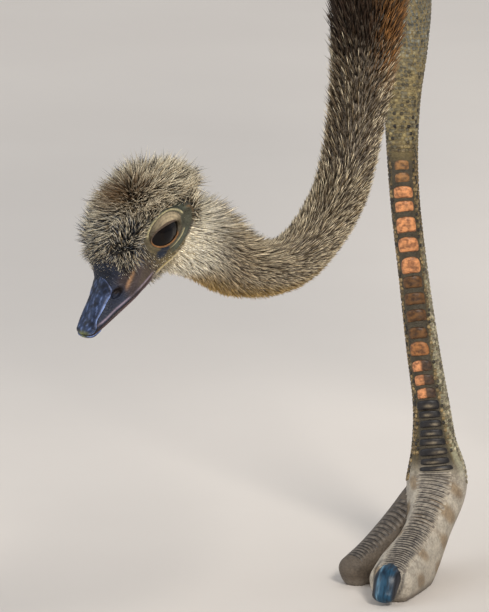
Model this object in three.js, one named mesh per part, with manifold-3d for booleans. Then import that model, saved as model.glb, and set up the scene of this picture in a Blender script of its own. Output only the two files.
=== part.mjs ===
// A hen ostrich standing with one foot set back and her head lowered to feed, at life size.
// Millimetres. She faces -Y, +X is her left, +Z is up, and her soles stand on z = 0.
// The solids follow the outside of her plumage and bristles.

import * as THREE from 'three';
import { mergeVertices } from 'three/addons/utils/BufferGeometryUtils.js';
import Module from 'manifold-3d';

const wasm = await Module();
wasm.setup();

// ---- driving dimensions ----

const clearance = 0.3;          // gap between touching pieces
const cutGrowth = 0.6;          // how much fatter a piece is when it cuts its neighbour

// Stations run along a piece. `at` is the centre, `wide` the half width, `up` and `down` the half
// heights on the back and belly sides of the centre line, `turn` the heading of the width in degrees.
// `brow` widens the upper half of a section, where bristles fan out over the eyes.
const trunkStations = [
  { at: [0, 338, 1098], wide: 74, up: 66, down: 84 },
  { at: [0, 252, 1090], wide: 136, up: 130, down: 166 },
  { at: [0, 112, 1068], wide: 196, up: 204, down: 240 },
  { at: [0, -38, 1044], wide: 230, up: 240, down: 264 },
  { at: [0, -186, 1022], wide: 232, up: 238, down: 260 },
  { at: [0, -310, 998], wide: 200, up: 206, down: 226 },
  { at: [0, -396, 978], wide: 142, up: 150, down: 160 },
];
const trunkDomes = { start: 40, end: 58 };

const tailStations = [
  { at: [0, 596, 872], wide: 88, up: 50, down: 76 },
  { at: [0, 540, 968], wide: 122, up: 66, down: 132 },
  { at: [0, 446, 1044], wide: 138, up: 58, down: 176 },
  { at: [0, 338, 1088], wide: 150, up: 52, down: 186 },
  { at: [0, 206, 1104], wide: 158, up: 56, down: 150 },
];
const tailDomes = { start: 32, end: 20 };

// The folded wing is a leaf-shaped blanket on the trunk's side, thickest where its plumes hang.
const wing = {
  from: 0.06, to: 0.9,          // rump end and shoulder end, as shares of the trunk's length
  lowEnd: -12, lowMiddle: -30, highEnd: 22, highMiddle: 24,     // girth in degrees: ends, and more between
  loft: 40, hang: 34,           // thickness in the middle, and more at the low rear edge
  edge: 5, depth: 12,           // its edge stands this proud, and its inside starts this deep
  rows: 12, columns: 7,
};

const neckStations = [
  { at: [0, -290, 1034], wide: 98, up: 96, down: 106, turn: 0 },
  { at: [-3, -392, 992], wide: 98, up: 94, down: 108, turn: 0 },
  { at: [-10, -438, 894], wide: 67, up: 66, down: 73, turn: -4 },
  { at: [-20, -430, 772], wide: 45, up: 45, down: 47, turn: -9 },
  { at: [-28, -413, 662], wide: 36, up: 36, down: 37, turn: -14 },
  { at: [-33, -407, 569], wide: 30, up: 30, down: 30, turn: -18 },
  { at: [-38, -418, 492], wide: 26, up: 26, down: 26, turn: -21 },
  { at: [-47, -440, 429], wide: 25, up: 25, down: 25, turn: -22 },
  { at: [-68, -490, 387], wide: 25, up: 25, down: 25, turn: -22 },
  { at: [-94, -550, 391], wide: 25, up: 27, down: 27, turn: -22 },
  { at: [-112, -593, 420], wide: 27, up: 35, down: 35, turn: -22 },
  { at: [-128, -630, 437], wide: 28, up: 39, down: 43, turn: -22 },
];
const neckCuts = [0, 0.24, 0.42, 0.6, 0.8, 1];
const neckNames = ['neck_base', 'neck_upper', 'neck_middle', 'neck_bend', 'neck_nape'];

// The head has a frame of its own: x to the bill, y to her left, z to the crown, from midway
// between the eyes.
const headPlace = { at: [-139, -652, 438], heading: 22.5, pitch: 36 };
const headStations = [
  { at: [-54, 0, 6], wide: 24, up: 26, down: 25, brow: 0 },
  { at: [-36, 0, 4], wide: 30, up: 40, down: 32, brow: 0.3 },
  { at: [-12, 0, 2], wide: 30, up: 48, down: 34, brow: 0.6 },
  { at: [10, 0, 0], wide: 28.5, up: 47, down: 32, brow: 0.8 },
  { at: [30, 0, -3], wide: 25, up: 36, down: 30, brow: 0.8 },
  { at: [44, 0, -8], wide: 22, up: 21, down: 24, brow: 0.4 },
];
const headDomes = { start: 12, end: 2 };
const eye = { at: [0, 15.2, 1], radius: 15 };
const ear = { at: [-28, 28.5, -9], long: 8, tall: 7, thick: 3.5 };

const billStations = [ // culmen and keel are heights above and below the mouth line
  { x: 34, wide: 23, mouth: -21, culmen: 31, keel: 12 },
  { x: 50, wide: 20, mouth: -21.5, culmen: 25, keel: 10 },
  { x: 64, wide: 16.8, mouth: -21, culmen: 18, keel: 8 },
  { x: 78, wide: 14.6, mouth: -20.5, culmen: 12, keel: 6.5 },
  { x: 90, wide: 12, mouth: -21, culmen: 7.5, keel: 4.5 },
];
const upperBillReach = 9;
const lowerBillReach = 6;

// Right leg, in the order shin, tarsus, toes. The left leg is its mirror image, set further back.
const leftFootBack = 120;
const shinStations = [
  { at: [-146, -88, 979], wide: 84, up: 112, down: 112 },
  { at: [-158, -66, 874], wide: 82, up: 102, down: 104 },
  { at: [-162, -34, 764], wide: 64, up: 76, down: 82 },
  { at: [-160, -6, 664], wide: 42, up: 48, down: 54 },
  { at: [-153, 16, 579], wide: 27, up: 30, down: 34 },
  { at: [-147, 30, 519], wide: 23, up: 25, down: 28 },
];
const tarsusStations = [
  { at: [-146, 32, 516], wide: 23, up: 25, down: 30 },
  { at: [-144, 29, 476], wide: 19.5, up: 20, down: 23 },
  { at: [-145, 19, 428], wide: 17, up: 17, down: 20 },
  { at: [-143, 13, 382], wide: 14.5, up: 15.5, down: 19 },
  { at: [-139, 9, 337], wide: 13.4, up: 15, down: 19 },
  { at: [-130, 7, 269], wide: 13.6, up: 15, down: 19 },
  { at: [-120, 6, 200], wide: 15.2, up: 16, down: 20 },
  { at: [-112, 5, 152], wide: 16.8, up: 17, down: 22 },
  { at: [-108, 3, 116], wide: 21, up: 21, down: 25 },
  { at: [-105, 2, 80], wide: 30, up: 27, down: 31 },
];
const tarsusDomes = { start: 16, end: 24 };
const toeInnerStations = [
  { at: [-104, 4, 68], wide: 29, up: 24, down: 28 },
  { at: [-105, -30, 47], wide: 24, up: 25, down: 30 },
  { at: [-106, -62, 30], wide: 22, up: 24, down: 44 },
  { at: [-106.5, -94, 23], wide: 22, up: 21, down: 34 },
  { at: [-107, -118, 18], wide: 21, up: 18, down: 26 },
];
const toeInnerDomes = { start: 14, end: 14 };
const toeOuterStations = [
  { at: [-117, 4, 64], wide: 21, up: 20, down: 22 },
  { at: [-133, -25, 40], wide: 18, up: 18, down: 26 },
  { at: [-147, -54, 23], wide: 16, up: 15, down: 32 },
  { at: [-157, -76, 14.5], wide: 14.6, up: 12.5, down: 21 },
];
const toeOuterDomes = { start: 12, end: 14 };
const clawStations = [
  { at: [-107, -110, 32], wide: 10, up: 9, down: 8 },
  { at: [-107.5, -128, 24], wide: 14, up: 9.5, down: 8 },
  { at: [-108, -138, 10], wide: 12, up: 7, down: 7 },
];
const clawDomes = { start: 4, end: 7 };

// ---- making shapes ----

const radians = THREE.MathUtils.degToRad;

function smoothCurve(points) {
  return new THREE.CatmullRomCurve3(points, false, 'centripetal');
}

// A smooth run through the stations: centre, frame and half sizes at any share of the way.
function makeSpine(stations, grow = 0) {
  const centres = smoothCurve(stations.map((s) => new THREE.Vector3(...s.at)));
  const sizes = stations.map((s) => new THREE.Vector3(s.wide + grow, s.up + grow, s.down + grow));
  const sizeCurve = new THREE.CatmullRomCurve3(sizes);
  const turns = stations.map((s) => s.turn ?? 0);
  const brows = stations.map((s) => s.brow ?? 0);
  return (share) => {
    const along = share * (stations.length - 1);
    const before = Math.min(Math.floor(along), stations.length - 2);
    const turn = radians(THREE.MathUtils.lerp(turns[before], turns[before + 1], along - before));
    const tangent = centres.getTangent(share);
    const side = new THREE.Vector3(Math.cos(turn), Math.sin(turn), 0);
    side.addScaledVector(tangent, -side.dot(tangent)).normalize();
    const up = new THREE.Vector3().crossVectors(tangent, side);
    const size = sizeCurve.getPoint(share);
    const brow = THREE.MathUtils.lerp(brows[before], brows[before + 1], along - before);
    const centre = centres.getPoint(share);
    return { centre, tangent, side, up, wide: size.x, high: size.y, low: size.z, brow };
  };
}

// A point of the girth at an angle from the left side, round by the back.
function girthPoint(spine, share, angle, push = 0, shrink = 1, ahead = 0) {
  const { centre, tangent, side, up, wide, high, low, brow } = spine(share);
  const sine = Math.sin(angle);
  const tall = sine > 0 ? high : low;
  const fan = 1 + brow * Math.max(0, sine);
  return centre.clone()
    .addScaledVector(tangent, ahead)
    .addScaledVector(side, (wide * fan + push) * Math.cos(angle) * shrink)
    .addScaledVector(up, (tall + push) * sine * shrink);
}

function solidFromRings(rings) {
  const sides = rings[0].length;
  const points = rings.flat();
  const faces = [];
  for (let r = 0; r < rings.length - 1; r++) {
    for (let s = 0; s < sides; s++) {
      const a = r * sides + s;
      const b = r * sides + (s + 1) % sides;
      faces.push(a, b, b + sides, a, b + sides, a + sides);
    }
  }
  for (const [ring, first] of [[rings[0], 0], [rings.at(-1), (rings.length - 1) * sides]]) {
    const middle = ring.reduce((sum, p) => sum.add(p), new THREE.Vector3()).divideScalar(sides);
    const hub = points.push(middle) - 1;
    for (let s = 0; s < sides; s++) {
      const a = first + s;
      const b = first + (s + 1) % sides;
      faces.push(...(first === 0 ? [hub, b, a] : [hub, a, b]));
    }
  }
  const solid = new THREE.BufferGeometry().setFromPoints(points);
  solid.setIndex(faces);
  return facingOut(solid);
}

function facingOut(solid) {
  const place = solid.getAttribute('position');
  const index = solid.getIndex().array;
  const corner = (i) => new THREE.Vector3().fromBufferAttribute(place, index[i]);
  let volume = 0;
  for (let i = 0; i < index.length; i += 3) volume += corner(i).dot(corner(i + 1).cross(corner(i + 2)));
  if (volume < 0) {
    for (let i = 0; i < index.length; i += 3) [index[i + 1], index[i + 2]] = [index[i + 2], index[i + 1]];
  }
  solid.computeVertexNormals();
  return solid;
}

// A lofted body with a round dome at each end, or a flat end where the dome is 0.
function loft(stations, { rings, sides, domes = {}, from = 0, to = 1, grow = 0, floor = -Infinity }) {
  const spine = makeSpine(stations, grow);
  const domeRings = 3;
  const steps = [];
  const dome = (share, reach) => {
    for (let k = 1; k < domeRings; k++) {
      const angle = Math.PI / 2 * k / (domeRings - 0.5);
      steps.push({ share, shrink: Math.cos(angle), ahead: reach * Math.sin(angle) });
    }
  };
  if (domes.start) dome(from, -(domes.start + grow));
  steps.reverse();
  for (let r = 0; r <= rings; r++) steps.push({ share: from + (to - from) * r / rings, shrink: 1, ahead: 0 });
  if (domes.end) dome(to, domes.end + grow);
  return solidFromRings(steps.map(({ share, shrink, ahead }) => {
    const ring = [];
    for (let s = 0; s < sides; s++) {
      const point = girthPoint(spine, share, 2 * Math.PI * (s + 0.5) / sides, 0, shrink, ahead);
      point.z = Math.max(point.z, floor);
      ring.push(point);
    }
    return ring;
  }));
}

function asManifold(geometry) {
  const bare = geometry.clone();
  bare.deleteAttribute('normal');
  bare.deleteAttribute('uv');
  const merged = mergeVertices(bare, 1e-4);
  return new wasm.Manifold(new wasm.Mesh({
    numProp: 3,
    vertProperties: new Float32Array(merged.getAttribute('position').array),
    triVerts: new Uint32Array(merged.getIndex().array),
  }));
}

// The geometry less the cutters: the largest piece that is left.
function cutBy(geometry, ...cutters) {
  let body = asManifold(geometry);
  for (const cutter of cutters) body = body.subtract(asManifold(cutter));
  const largest = body.decompose().sort((a, b) => b.volume() - a.volume())[0];
  const mesh = largest.getMesh();
  const cut = new THREE.BufferGeometry();
  cut.setAttribute('position', new THREE.Float32BufferAttribute(mesh.vertProperties, 3));
  cut.setIndex(Array.from(mesh.triVerts));
  const facets = cut.toNonIndexed();
  facets.computeVertexNormals();
  return facets;
}

function mirrored(geometry) {
  const copy = geometry.index ? geometry.toNonIndexed() : geometry.clone();
  copy.applyMatrix4(new THREE.Matrix4().makeScale(-1, 1, 1));
  const place = copy.getAttribute('position').array;
  for (let i = 0; i < place.length; i += 9) {
    for (let k = 0; k < 3; k++) [place[i + 3 + k], place[i + 6 + k]] = [place[i + 6 + k], place[i + 3 + k]];
  }
  copy.computeVertexNormals();
  return copy;
}

// ---- the materials ----

function finish(color, roughness) {
  return new THREE.MeshStandardMaterial({ color, roughness, metalness: 0 });
}

const plumage = finish(0x5b5046, 0.95);
const darkPlumage = finish(0x4a3f36, 0.95);
const bristles = finish(0x8d7f6c, 0.95);
const bareSkin = finish(0x9a8a80, 0.7);
const scales = finish(0x7d7257, 0.6);
const horn = finish(0x3c5561, 0.35);
const billHorn = finish(0x3a3a40, 0.4);
const wetEye = finish(0x120c08, 0.05);

// ---- the parts ----

const bird = new THREE.Group();

function addPart(name, geometry, material) {
  const part = new THREE.Mesh(geometry, material);
  part.name = name;
  bird.add(part);
}

function addPair(name, rightGeometry, material) {
  addPart(`${name}_right`, rightGeometry, material);
  addPart(`${name}_left`, mirrored(rightGeometry), material);
}

const trunkShape = (grow) => loft(trunkStations, { rings: 12, sides: 22, domes: trunkDomes, grow });
const tailShape = (grow) => loft(tailStations, { rings: 6, sides: 14, domes: tailDomes, grow });

// The wing starts inside the trunk, which cuts it, and its outside stands off by a smooth swelling.
function wingShape(grow) {
  const spine = makeSpine(trunkStations);
  const shareOfGrowth = 0.004;  // how far a millimetre of growth moves the wing's ends
  const cell = (row, column, outside) => {
    const along = row / wing.rows;
    const across = column / wing.columns;
    const longer = grow * shareOfGrowth;
    const share = THREE.MathUtils.lerp(wing.from - longer, wing.to + longer, along);
    const ends = Math.sin(Math.PI * THREE.MathUtils.clamp(along, 0.02, 0.98)) ** 0.6;
    const low = wing.lowEnd + wing.lowMiddle * ends - grow;
    const high = wing.highEnd + wing.highMiddle * ends + grow;
    const angle = radians(180 - THREE.MathUtils.lerp(low, high, across));
    const swell = Math.sin(Math.PI * (0.3 + 0.7 * across)) ** 0.8;
    const thickness = wing.loft * swell + wing.hang * (1 - across) ** 2 * (1 - along);
    const push = outside ? wing.edge + thickness * ends + grow : -wing.depth - grow;
    return girthPoint(spine, share, angle, push);
  };
  const rings = [];
  for (let row = 0; row <= wing.rows; row++) {
    const ring = [];
    for (let column = 0; column <= wing.columns; column++) ring.push(cell(row, column, true));
    for (let column = wing.columns; column >= 0; column--) ring.push(cell(row, column, false));
    rings.push(ring);
  }
  return solidFromRings(rings);
}

function addTrunk() {
  const cutters = [trunkShape(cutGrowth), wingShape(cutGrowth), mirrored(wingShape(cutGrowth))];
  addPart('trunk', trunkShape(0), plumage);
  addPair('wing', cutBy(wingShape(0), trunkShape(cutGrowth)), darkPlumage);
  addPart('tail', cutBy(tailShape(0), ...cutters), plumage);
}

const headFrame = new THREE.Matrix4().makeRotationZ(radians(-90 - headPlace.heading))
  .multiply(new THREE.Matrix4().makeRotationY(radians(headPlace.pitch)))
  .setPosition(...headPlace.at);

const leftIsY = 90;             // the turn that lays a width along the head's own left

const headShape = (grow) => loft(headStations.map((s) => ({ ...s, turn: leftIsY })),
  { rings: 8, sides: 16, domes: headDomes, grow }).applyMatrix4(headFrame);

function addNeck() {
  const [start, end] = [neckStations[0], neckStations.at(-1)].map((s) => new THREE.Vector3(...s.at));
  const gap = clearance / start.distanceTo(end);
  neckNames.forEach((name, i) => {
    const from = neckCuts[i] + (i ? gap : 0);
    let length = loft(neckStations, { rings: 6, sides: 14, from, to: neckCuts[i + 1] });
    if (i === 0) length = cutBy(length, trunkShape(cutGrowth));
    if (i === neckNames.length - 1) {
      length = cutBy(length, headShape(cutGrowth), earPatch(1, cutGrowth), earPatch(-1, cutGrowth));
    }
    addPart(name, length, i < 2 ? darkPlumage : bristles);
  });
}

// Half of the bill, above or below the mouth line, in the head's frame.
function billHalf(upper) {
  const sign = upper ? 1 : -1;
  const stations = billStations.map((s) => ({
    at: [s.x, 0, s.mouth + sign * clearance / 2],
    wide: s.wide - (upper ? 0 : 1),
    up: upper ? s.culmen : 0,
    down: upper ? 0 : s.keel,
    turn: leftIsY,
  }));
  const reach = upper ? upperBillReach : lowerBillReach;
  return loft(stations, { rings: 6, sides: 12, domes: { end: reach } }).applyMatrix4(headFrame);
}

// An ellipsoid on her left where sign is 1, or on her right where it is -1, in the head's frame.
function headBall([x, y, z], [long, thick, tall], sign, grow, sides = 12) {
  return new THREE.SphereGeometry(1, sides, sides / 2 + 1)
    .scale(long + grow, thick + grow, tall + grow)
    .translate(x, sign * y, z)
    .applyMatrix4(headFrame);
}

const eyeball = (sign, grow) => headBall(eye.at, [eye.radius, eye.radius, eye.radius], sign, grow);
const earPatch = (sign, grow) => headBall(ear.at, [ear.long, ear.thick, ear.tall], sign, grow, 8);

function addHead() {
  const sides = [['right', -1], ['left', 1]];
  const sockets = sides.flatMap(([, sign]) => [eyeball(sign, cutGrowth), earPatch(sign, cutGrowth)]);
  addPart('head', cutBy(headShape(0), ...sockets), bristles);
  addPart('bill_upper', cutBy(billHalf(true), headShape(cutGrowth)), billHorn);
  addPart('bill_lower', cutBy(billHalf(false), headShape(cutGrowth)), billHorn);
  for (const [side, sign] of sides) {
    addPart(`eye_${side}`, eyeball(sign, 0), wetEye);
    addPart(`ear_${side}`, earPatch(sign, 0), bareSkin);
  }
}

// The stations of the right leg, or of the left one: mirrored, and swung back from the hip.
function legStations(stations, leg) {
  const hip = shinStations[0].at[2];
  const instep = tarsusStations.at(-1).at[2];
  return stations.map((s) => {
    const [x, y, z] = s.at;
    const swing = THREE.MathUtils.clamp((hip - z) / (hip - instep), 0, 1);
    return { ...s, at: [leg.sign * x, y + leg.back * swing, z] };
  });
}

function addLeg(leg) {
  const shape = (stations, options) => (grow) => loft(legStations(stations, leg), { ...options, grow });
  const onFloor = (stations, options) => (grow) => shape(stations, { ...options, floor: -grow })(grow);
  const wingBeside = leg.sign > 0 ? wingShape(cutGrowth) : mirrored(wingShape(cutGrowth));
  const shareAtKnee = 2 / (shinStations.length - 1);
  const shinLength = shinStations[0].at[2] - shinStations.at(-1).at[2];
  const thigh = shape(shinStations, { rings: 4, sides: 16, to: shareAtKnee })(0);
  const shin = shape(shinStations, { rings: 8, sides: 14, from: shareAtKnee + clearance / shinLength })(0);
  const tarsus = shape(tarsusStations, { rings: 13, sides: 12, domes: tarsusDomes });
  const toeInner = onFloor(toeInnerStations, { rings: 7, sides: 12, domes: toeInnerDomes });
  const toeOuter = onFloor(toeOuterStations, { rings: 6, sides: 10, domes: toeOuterDomes });
  const claw = onFloor(clawStations, { rings: 3, sides: 8, domes: clawDomes });
  addPart(`thigh_${leg.side}`, cutBy(thigh, trunkShape(cutGrowth), wingBeside), bareSkin);
  addPart(`shin_${leg.side}`, cutBy(shin, tarsus(cutGrowth)), bareSkin);
  addPart(`tarsus_${leg.side}`, tarsus(0), scales);
  addPart(`toe_inner_${leg.side}`, cutBy(toeInner(0), tarsus(cutGrowth), claw(cutGrowth)), scales);
  addPart(`toe_outer_${leg.side}`, cutBy(toeOuter(0), tarsus(cutGrowth), toeInner(cutGrowth)), scales);
  addPart(`claw_${leg.side}`, claw(0), horn);
}

addTrunk();
addNeck();
addHead();
addLeg({ side: 'right', sign: 1, back: 0 });
addLeg({ side: 'left', sign: -1, back: leftFootBack });

// The origin is on the floor, under the middle of the bird's box.
bird.updateMatrixWorld(true);
const box = new THREE.Box3().setFromObject(bird, true);
bird.position.set(-(box.min.x + box.max.x) / 2, -(box.min.y + box.max.y) / 2, 0);

export default bird;
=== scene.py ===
import math

import bmesh
import bpy
import numpy as np
from mathutils import Matrix, Vector
from mathutils.kdtree import KDTree


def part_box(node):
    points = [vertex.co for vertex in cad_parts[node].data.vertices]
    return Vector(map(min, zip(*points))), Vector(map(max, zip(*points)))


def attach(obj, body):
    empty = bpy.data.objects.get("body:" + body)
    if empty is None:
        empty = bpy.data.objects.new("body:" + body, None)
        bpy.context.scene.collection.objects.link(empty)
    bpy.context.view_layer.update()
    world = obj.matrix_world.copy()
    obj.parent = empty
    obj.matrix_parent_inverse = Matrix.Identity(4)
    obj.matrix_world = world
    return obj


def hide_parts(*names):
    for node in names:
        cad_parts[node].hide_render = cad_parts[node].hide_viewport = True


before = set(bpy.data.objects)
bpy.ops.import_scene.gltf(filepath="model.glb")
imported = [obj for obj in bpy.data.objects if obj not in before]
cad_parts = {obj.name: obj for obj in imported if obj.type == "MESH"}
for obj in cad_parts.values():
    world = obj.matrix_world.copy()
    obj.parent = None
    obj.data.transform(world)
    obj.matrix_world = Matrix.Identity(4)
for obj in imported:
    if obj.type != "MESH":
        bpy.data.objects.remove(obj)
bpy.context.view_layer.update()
random = np.random.default_rng(11)
metre = 1000.0  # every station below is in millimetres

# A station's y counts from the right ankle. The eye's front shows how far that is from the origin.
eyeFront = -661.44
originShift = np.array([0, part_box("eye_right")[0].y * metre - eyeFront, 0])


# helpers for shapes


def unit(rows):
    return rows / np.maximum(np.linalg.norm(rows, axis=1, keepdims=True), 1e-9)


def dot(a, b):
    return np.sum(a * b, axis=1, keepdims=True)


def smoothStep(low, high, value):
    t = np.clip((value - low) / (high - low), 0, 1)
    return t * t * (3 - 2 * t)


def bump(value, width):
    return np.exp(-((value / width) ** 2))


def spline(stations, shares):
    # a smooth run through the stations, whose first three numbers are a place, and its slope
    rows = np.array(stations, float)
    rows = np.vstack([2 * rows[0] - rows[1], rows, 2 * rows[-1] - rows[-2]])
    gaps = np.linalg.norm(np.diff(rows[:, :3], axis=0), axis=1) ** 0.5
    along = np.clip(shares, 0, 1) * (len(stations) - 1)
    at = np.minimum(along.astype(int), len(stations) - 2)
    t = (along - at)[:, None]
    a, b, c, d = (rows[at + k] for k in range(4))
    before, here, after = (gaps[at + k][:, None] for k in range(3))
    leave = here * ((b - a) / before - (c - a) / (before + here) + (c - b) / here)
    reach = here * ((c - b) / here - (d - b) / (here + after) + (d - c) / after)
    bend = 3 * (c - b) - 2 * leave - reach
    twist = 2 * (b - c) + leave + reach
    value = ((twist * t + bend) * t + leave) * t + b
    return value, (3 * twist * t + 2 * bend) * t + leave


def tubeFrame(stations, shares):
    value, slope = spline(stations, shares)
    ahead = unit(slope[:, :3])
    turn = np.radians(value[:, 6])
    side = np.column_stack([np.cos(turn), np.sin(turn), np.zeros(len(turn))])
    side = unit(side - ahead * dot(side, ahead))
    return value, ahead, side, np.cross(ahead, side)


def girthPoints(part, shares, angles, shrink=1.0, reach=0.0):
    # places on a part's outside, by angle from her left side round by the back
    value, ahead, side, up = tubeFrame(part["stations"], shares)
    sine = np.sin(angles)[:, None]
    cosine = np.cos(angles)[:, None]
    boxy = value[:, 7:8]
    cosine = np.sign(cosine) * np.abs(cosine) ** boxy
    shrink = np.reshape(shrink, (-1, 1))
    tall = np.where(sine > 0, value[:, 4:5], value[:, 5:6])
    points = value[:, :3] + shrink * (side * value[:, 3:4] * cosine + up * tall * sine)
    return points + ahead * np.reshape(reach, (-1, 1))


def partPoints(part, rows, columns):
    # rows and columns run from 0 to 1 over the part, with a dome at either end of the rows
    start, end = part["domeRows"]
    inside = np.clip((rows - start) / (1 - start - end), 0, 1)
    shares = np.interp(inside, part["pace"][0], part["pace"][1])
    first = np.clip(1 - rows / start, 0, 1) * math.pi / 2
    last = np.clip((rows - 1 + end) / end, 0, 1) * math.pi / 2
    reach = part["domes"][1] * np.sin(last) - part["domes"][0] * np.sin(first)
    angles = columns * 2 * math.pi
    points = girthPoints(part, shares, angles, np.cos(first) * np.cos(last), reach)
    if "sculpt" in part:
        points = part["sculpt"](points, shares, angles)
    return points, shares, angles


def linkMesh(name, bm=None, mesh=None):
    if bm is not None:
        mesh = bpy.data.meshes.new(name)
        bm.to_mesh(mesh)
        bm.free()
    mesh.name = name
    for face in mesh.polygons:
        face.use_smooth = True
    piece = bpy.data.objects.new(name, mesh)
    bpy.context.scene.collection.objects.link(piece)
    return piece


def setPlaces(bm, places):
    # places in millimetres, one for each vertex, moved to the shared frame
    for vert, place in zip(bm.verts, (places + originShift) / metre):
        vert.co = place


def paint(mesh, colours, name="tint"):
    layer = mesh.attributes.new(name, "FLOAT_COLOR", "POINT")
    rows = np.column_stack([colours, np.ones(len(colours))]).astype(np.float32)
    layer.data.foreach_set("color", rows.ravel())


def mixRows(base, over, mask):
    mask = np.reshape(np.broadcast_to(mask, (len(base),)), (-1, 1))
    return base * (1 - mask) + np.array(over) * mask


# shader maths on sockets


class Wire:
    # an output socket that takes Python's arithmetic

    def __init__(self, tree, socket=None):
        self.tree = tree
        self.socket = socket

    def node(self, kind, settings, sockets, out=0):
        made = self.tree.nodes.new(kind)
        for key, value in settings.items():
            if key != "stops":
                setattr(made, key, value)
                continue
            ramp = made.color_ramp
            while len(ramp.elements) < len(value):
                ramp.elements.new(0.5)
            for element, (place, colour) in zip(ramp.elements, value):
                element.position = place
                element.color = colour
        for key, value in sockets.items():
            if isinstance(value, Wire):
                self.tree.links.new(value.socket, made.inputs[key])
            else:
                made.inputs[key].default_value = value
        return Wire(self.tree, made.outputs[out])

    def math(self, operation, *values):
        return self.node("ShaderNodeMath", {"operation": operation}, dict(enumerate(values)))

    def __add__(self, other):
        return self.math("ADD", self, other)

    def __radd__(self, other):
        return self.math("ADD", other, self)

    def __sub__(self, other):
        return self.math("SUBTRACT", self, other)

    def __rsub__(self, other):
        return self.math("SUBTRACT", other, self)

    def __mul__(self, other):
        return self.math("MULTIPLY", self, other)

    def __rmul__(self, other):
        return self.math("MULTIPLY", other, self)

    def __truediv__(self, other):
        return self.math("DIVIDE", self, other)

    def between(self, low, high):
        # 0 below low, 1 above high
        settings = {"interpolation_type": "SMOOTHSTEP"}
        sockets = {"Value": self, "From Min": low, "From Max": high}
        return self.node("ShaderNodeMapRange", settings, sockets)

    def mix(self, first, second, blend="MIX"):
        # this wire is the share of the second colour
        settings = {"data_type": "RGBA", "blend_type": blend}
        return self.node("ShaderNodeMix", settings, {0: self, 6: first, 7: second}, out=2)

    def times(self, other):
        # two colours, one over the other
        settings = {"data_type": "RGBA", "blend_type": "MULTIPLY"}
        return self.node("ShaderNodeMix", settings, {0: 1.0, 6: other, 7: self}, out=2)

    def noise(self, scale, detail=2.0, stretch=(1, 1, 1), roughness=0.5):
        # this wire is the vector
        vector = self.node("ShaderNodeMapping", {}, {"Vector": self, "Scale": stretch})
        sockets = {"Vector": vector, "Scale": scale, "Detail": detail, "Roughness": roughness}
        return self.node("ShaderNodeTexNoise", {}, sockets)

    def cells(self, scale, feature="F1", stretch=(1, 1, 1)):
        vector = self.node("ShaderNodeMapping", {}, {"Vector": self, "Scale": stretch})
        return self.node("ShaderNodeTexVoronoi", {"feature": feature}, {"Vector": vector, "Scale": scale})


class Finish:
    # a material, its Principled shader, and the wires that most patterns start from

    def __init__(self, name, **constants):
        self.material = bpy.data.materials.new(name)
        self.material.use_nodes = True
        self.tree = self.material.node_tree
        self.shader = self.tree.nodes["Principled BSDF"]
        for key, value in constants.items():
            self.shader.inputs[key.replace("_", " ")].default_value = value
        self.start = Wire(self.tree)
        self.place = self.start.node("ShaderNodeTexCoord", {}, {}, out=3)

    def attribute(self, name, out=0):
        settings = {"attribute_type": "GEOMETRY", "attribute_name": name}
        return self.start.node("ShaderNodeAttribute", settings, {}, out=out)

    def feed(self, **wires):
        for key, wire in wires.items():
            self.tree.links.new(wire.socket, self.shader.inputs[key.replace("_", " ")])

    def bump(self, height, distance, strength=1.0, under=None):
        sockets = {"Height": height, "Distance": distance, "Strength": strength}
        if under is not None:
            sockets["Normal"] = under
        return self.start.node("ShaderNodeBump", {}, sockets)


def dress(piece, finish, slot, *nodes):
    # gives a piece its material, rides it on the one body, and hides the CAD nodes it stands for
    piece.data.materials.clear()
    piece.data.materials.append(finish.material)
    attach(piece, "root")
    if nodes:
        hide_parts(*nodes)
    print(piece.name, len(piece.data.polygons), "faces")


# camera, floor and light

view = {
    "azimuth": 20.0,
    "elevation": 12.5,
    "distance": 6.0,
    "target": (-0.2882, 0.0, 0.2292),
    "focal": 6630.3 / 612,  # focal length over the picture's height
    "sensor": 36.0,
}


def makeCamera():
    camera = bpy.data.cameras.new("camera")
    camera.sensor_width = view["sensor"]
    camera.sensor_fit = "AUTO"
    camera.lens = view["focal"] * view["sensor"]
    camera.clip_end = 60
    holder = bpy.data.objects.new("camera", camera)
    azimuth = math.radians(view["azimuth"])
    elevation = math.radians(view["elevation"])
    level = math.cos(elevation)
    back = Vector((math.sin(azimuth) * level, -math.cos(azimuth) * level, math.sin(elevation)))
    holder.location = Vector(view["target"]) + Vector(originShift / metre) + back * view["distance"]
    holder.rotation_mode = "QUATERNION"
    holder.rotation_quaternion = (-back).to_track_quat("-Z", "Y")
    bpy.context.scene.collection.objects.link(holder)
    bpy.context.scene.camera = holder


def makeLight(name, place, aim, size, power, colour):
    lamp = bpy.data.lights.new(name, "AREA")
    lamp.shape = "DISK"
    lamp.size = size
    lamp.energy = power
    lamp.color = colour
    holder = bpy.data.objects.new(name, lamp)
    holder.location = place
    holder.rotation_mode = "QUATERNION"
    holder.rotation_quaternion = (Vector(aim) - Vector(place)).to_track_quat("-Z", "Y")
    bpy.context.scene.collection.objects.link(holder)


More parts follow.
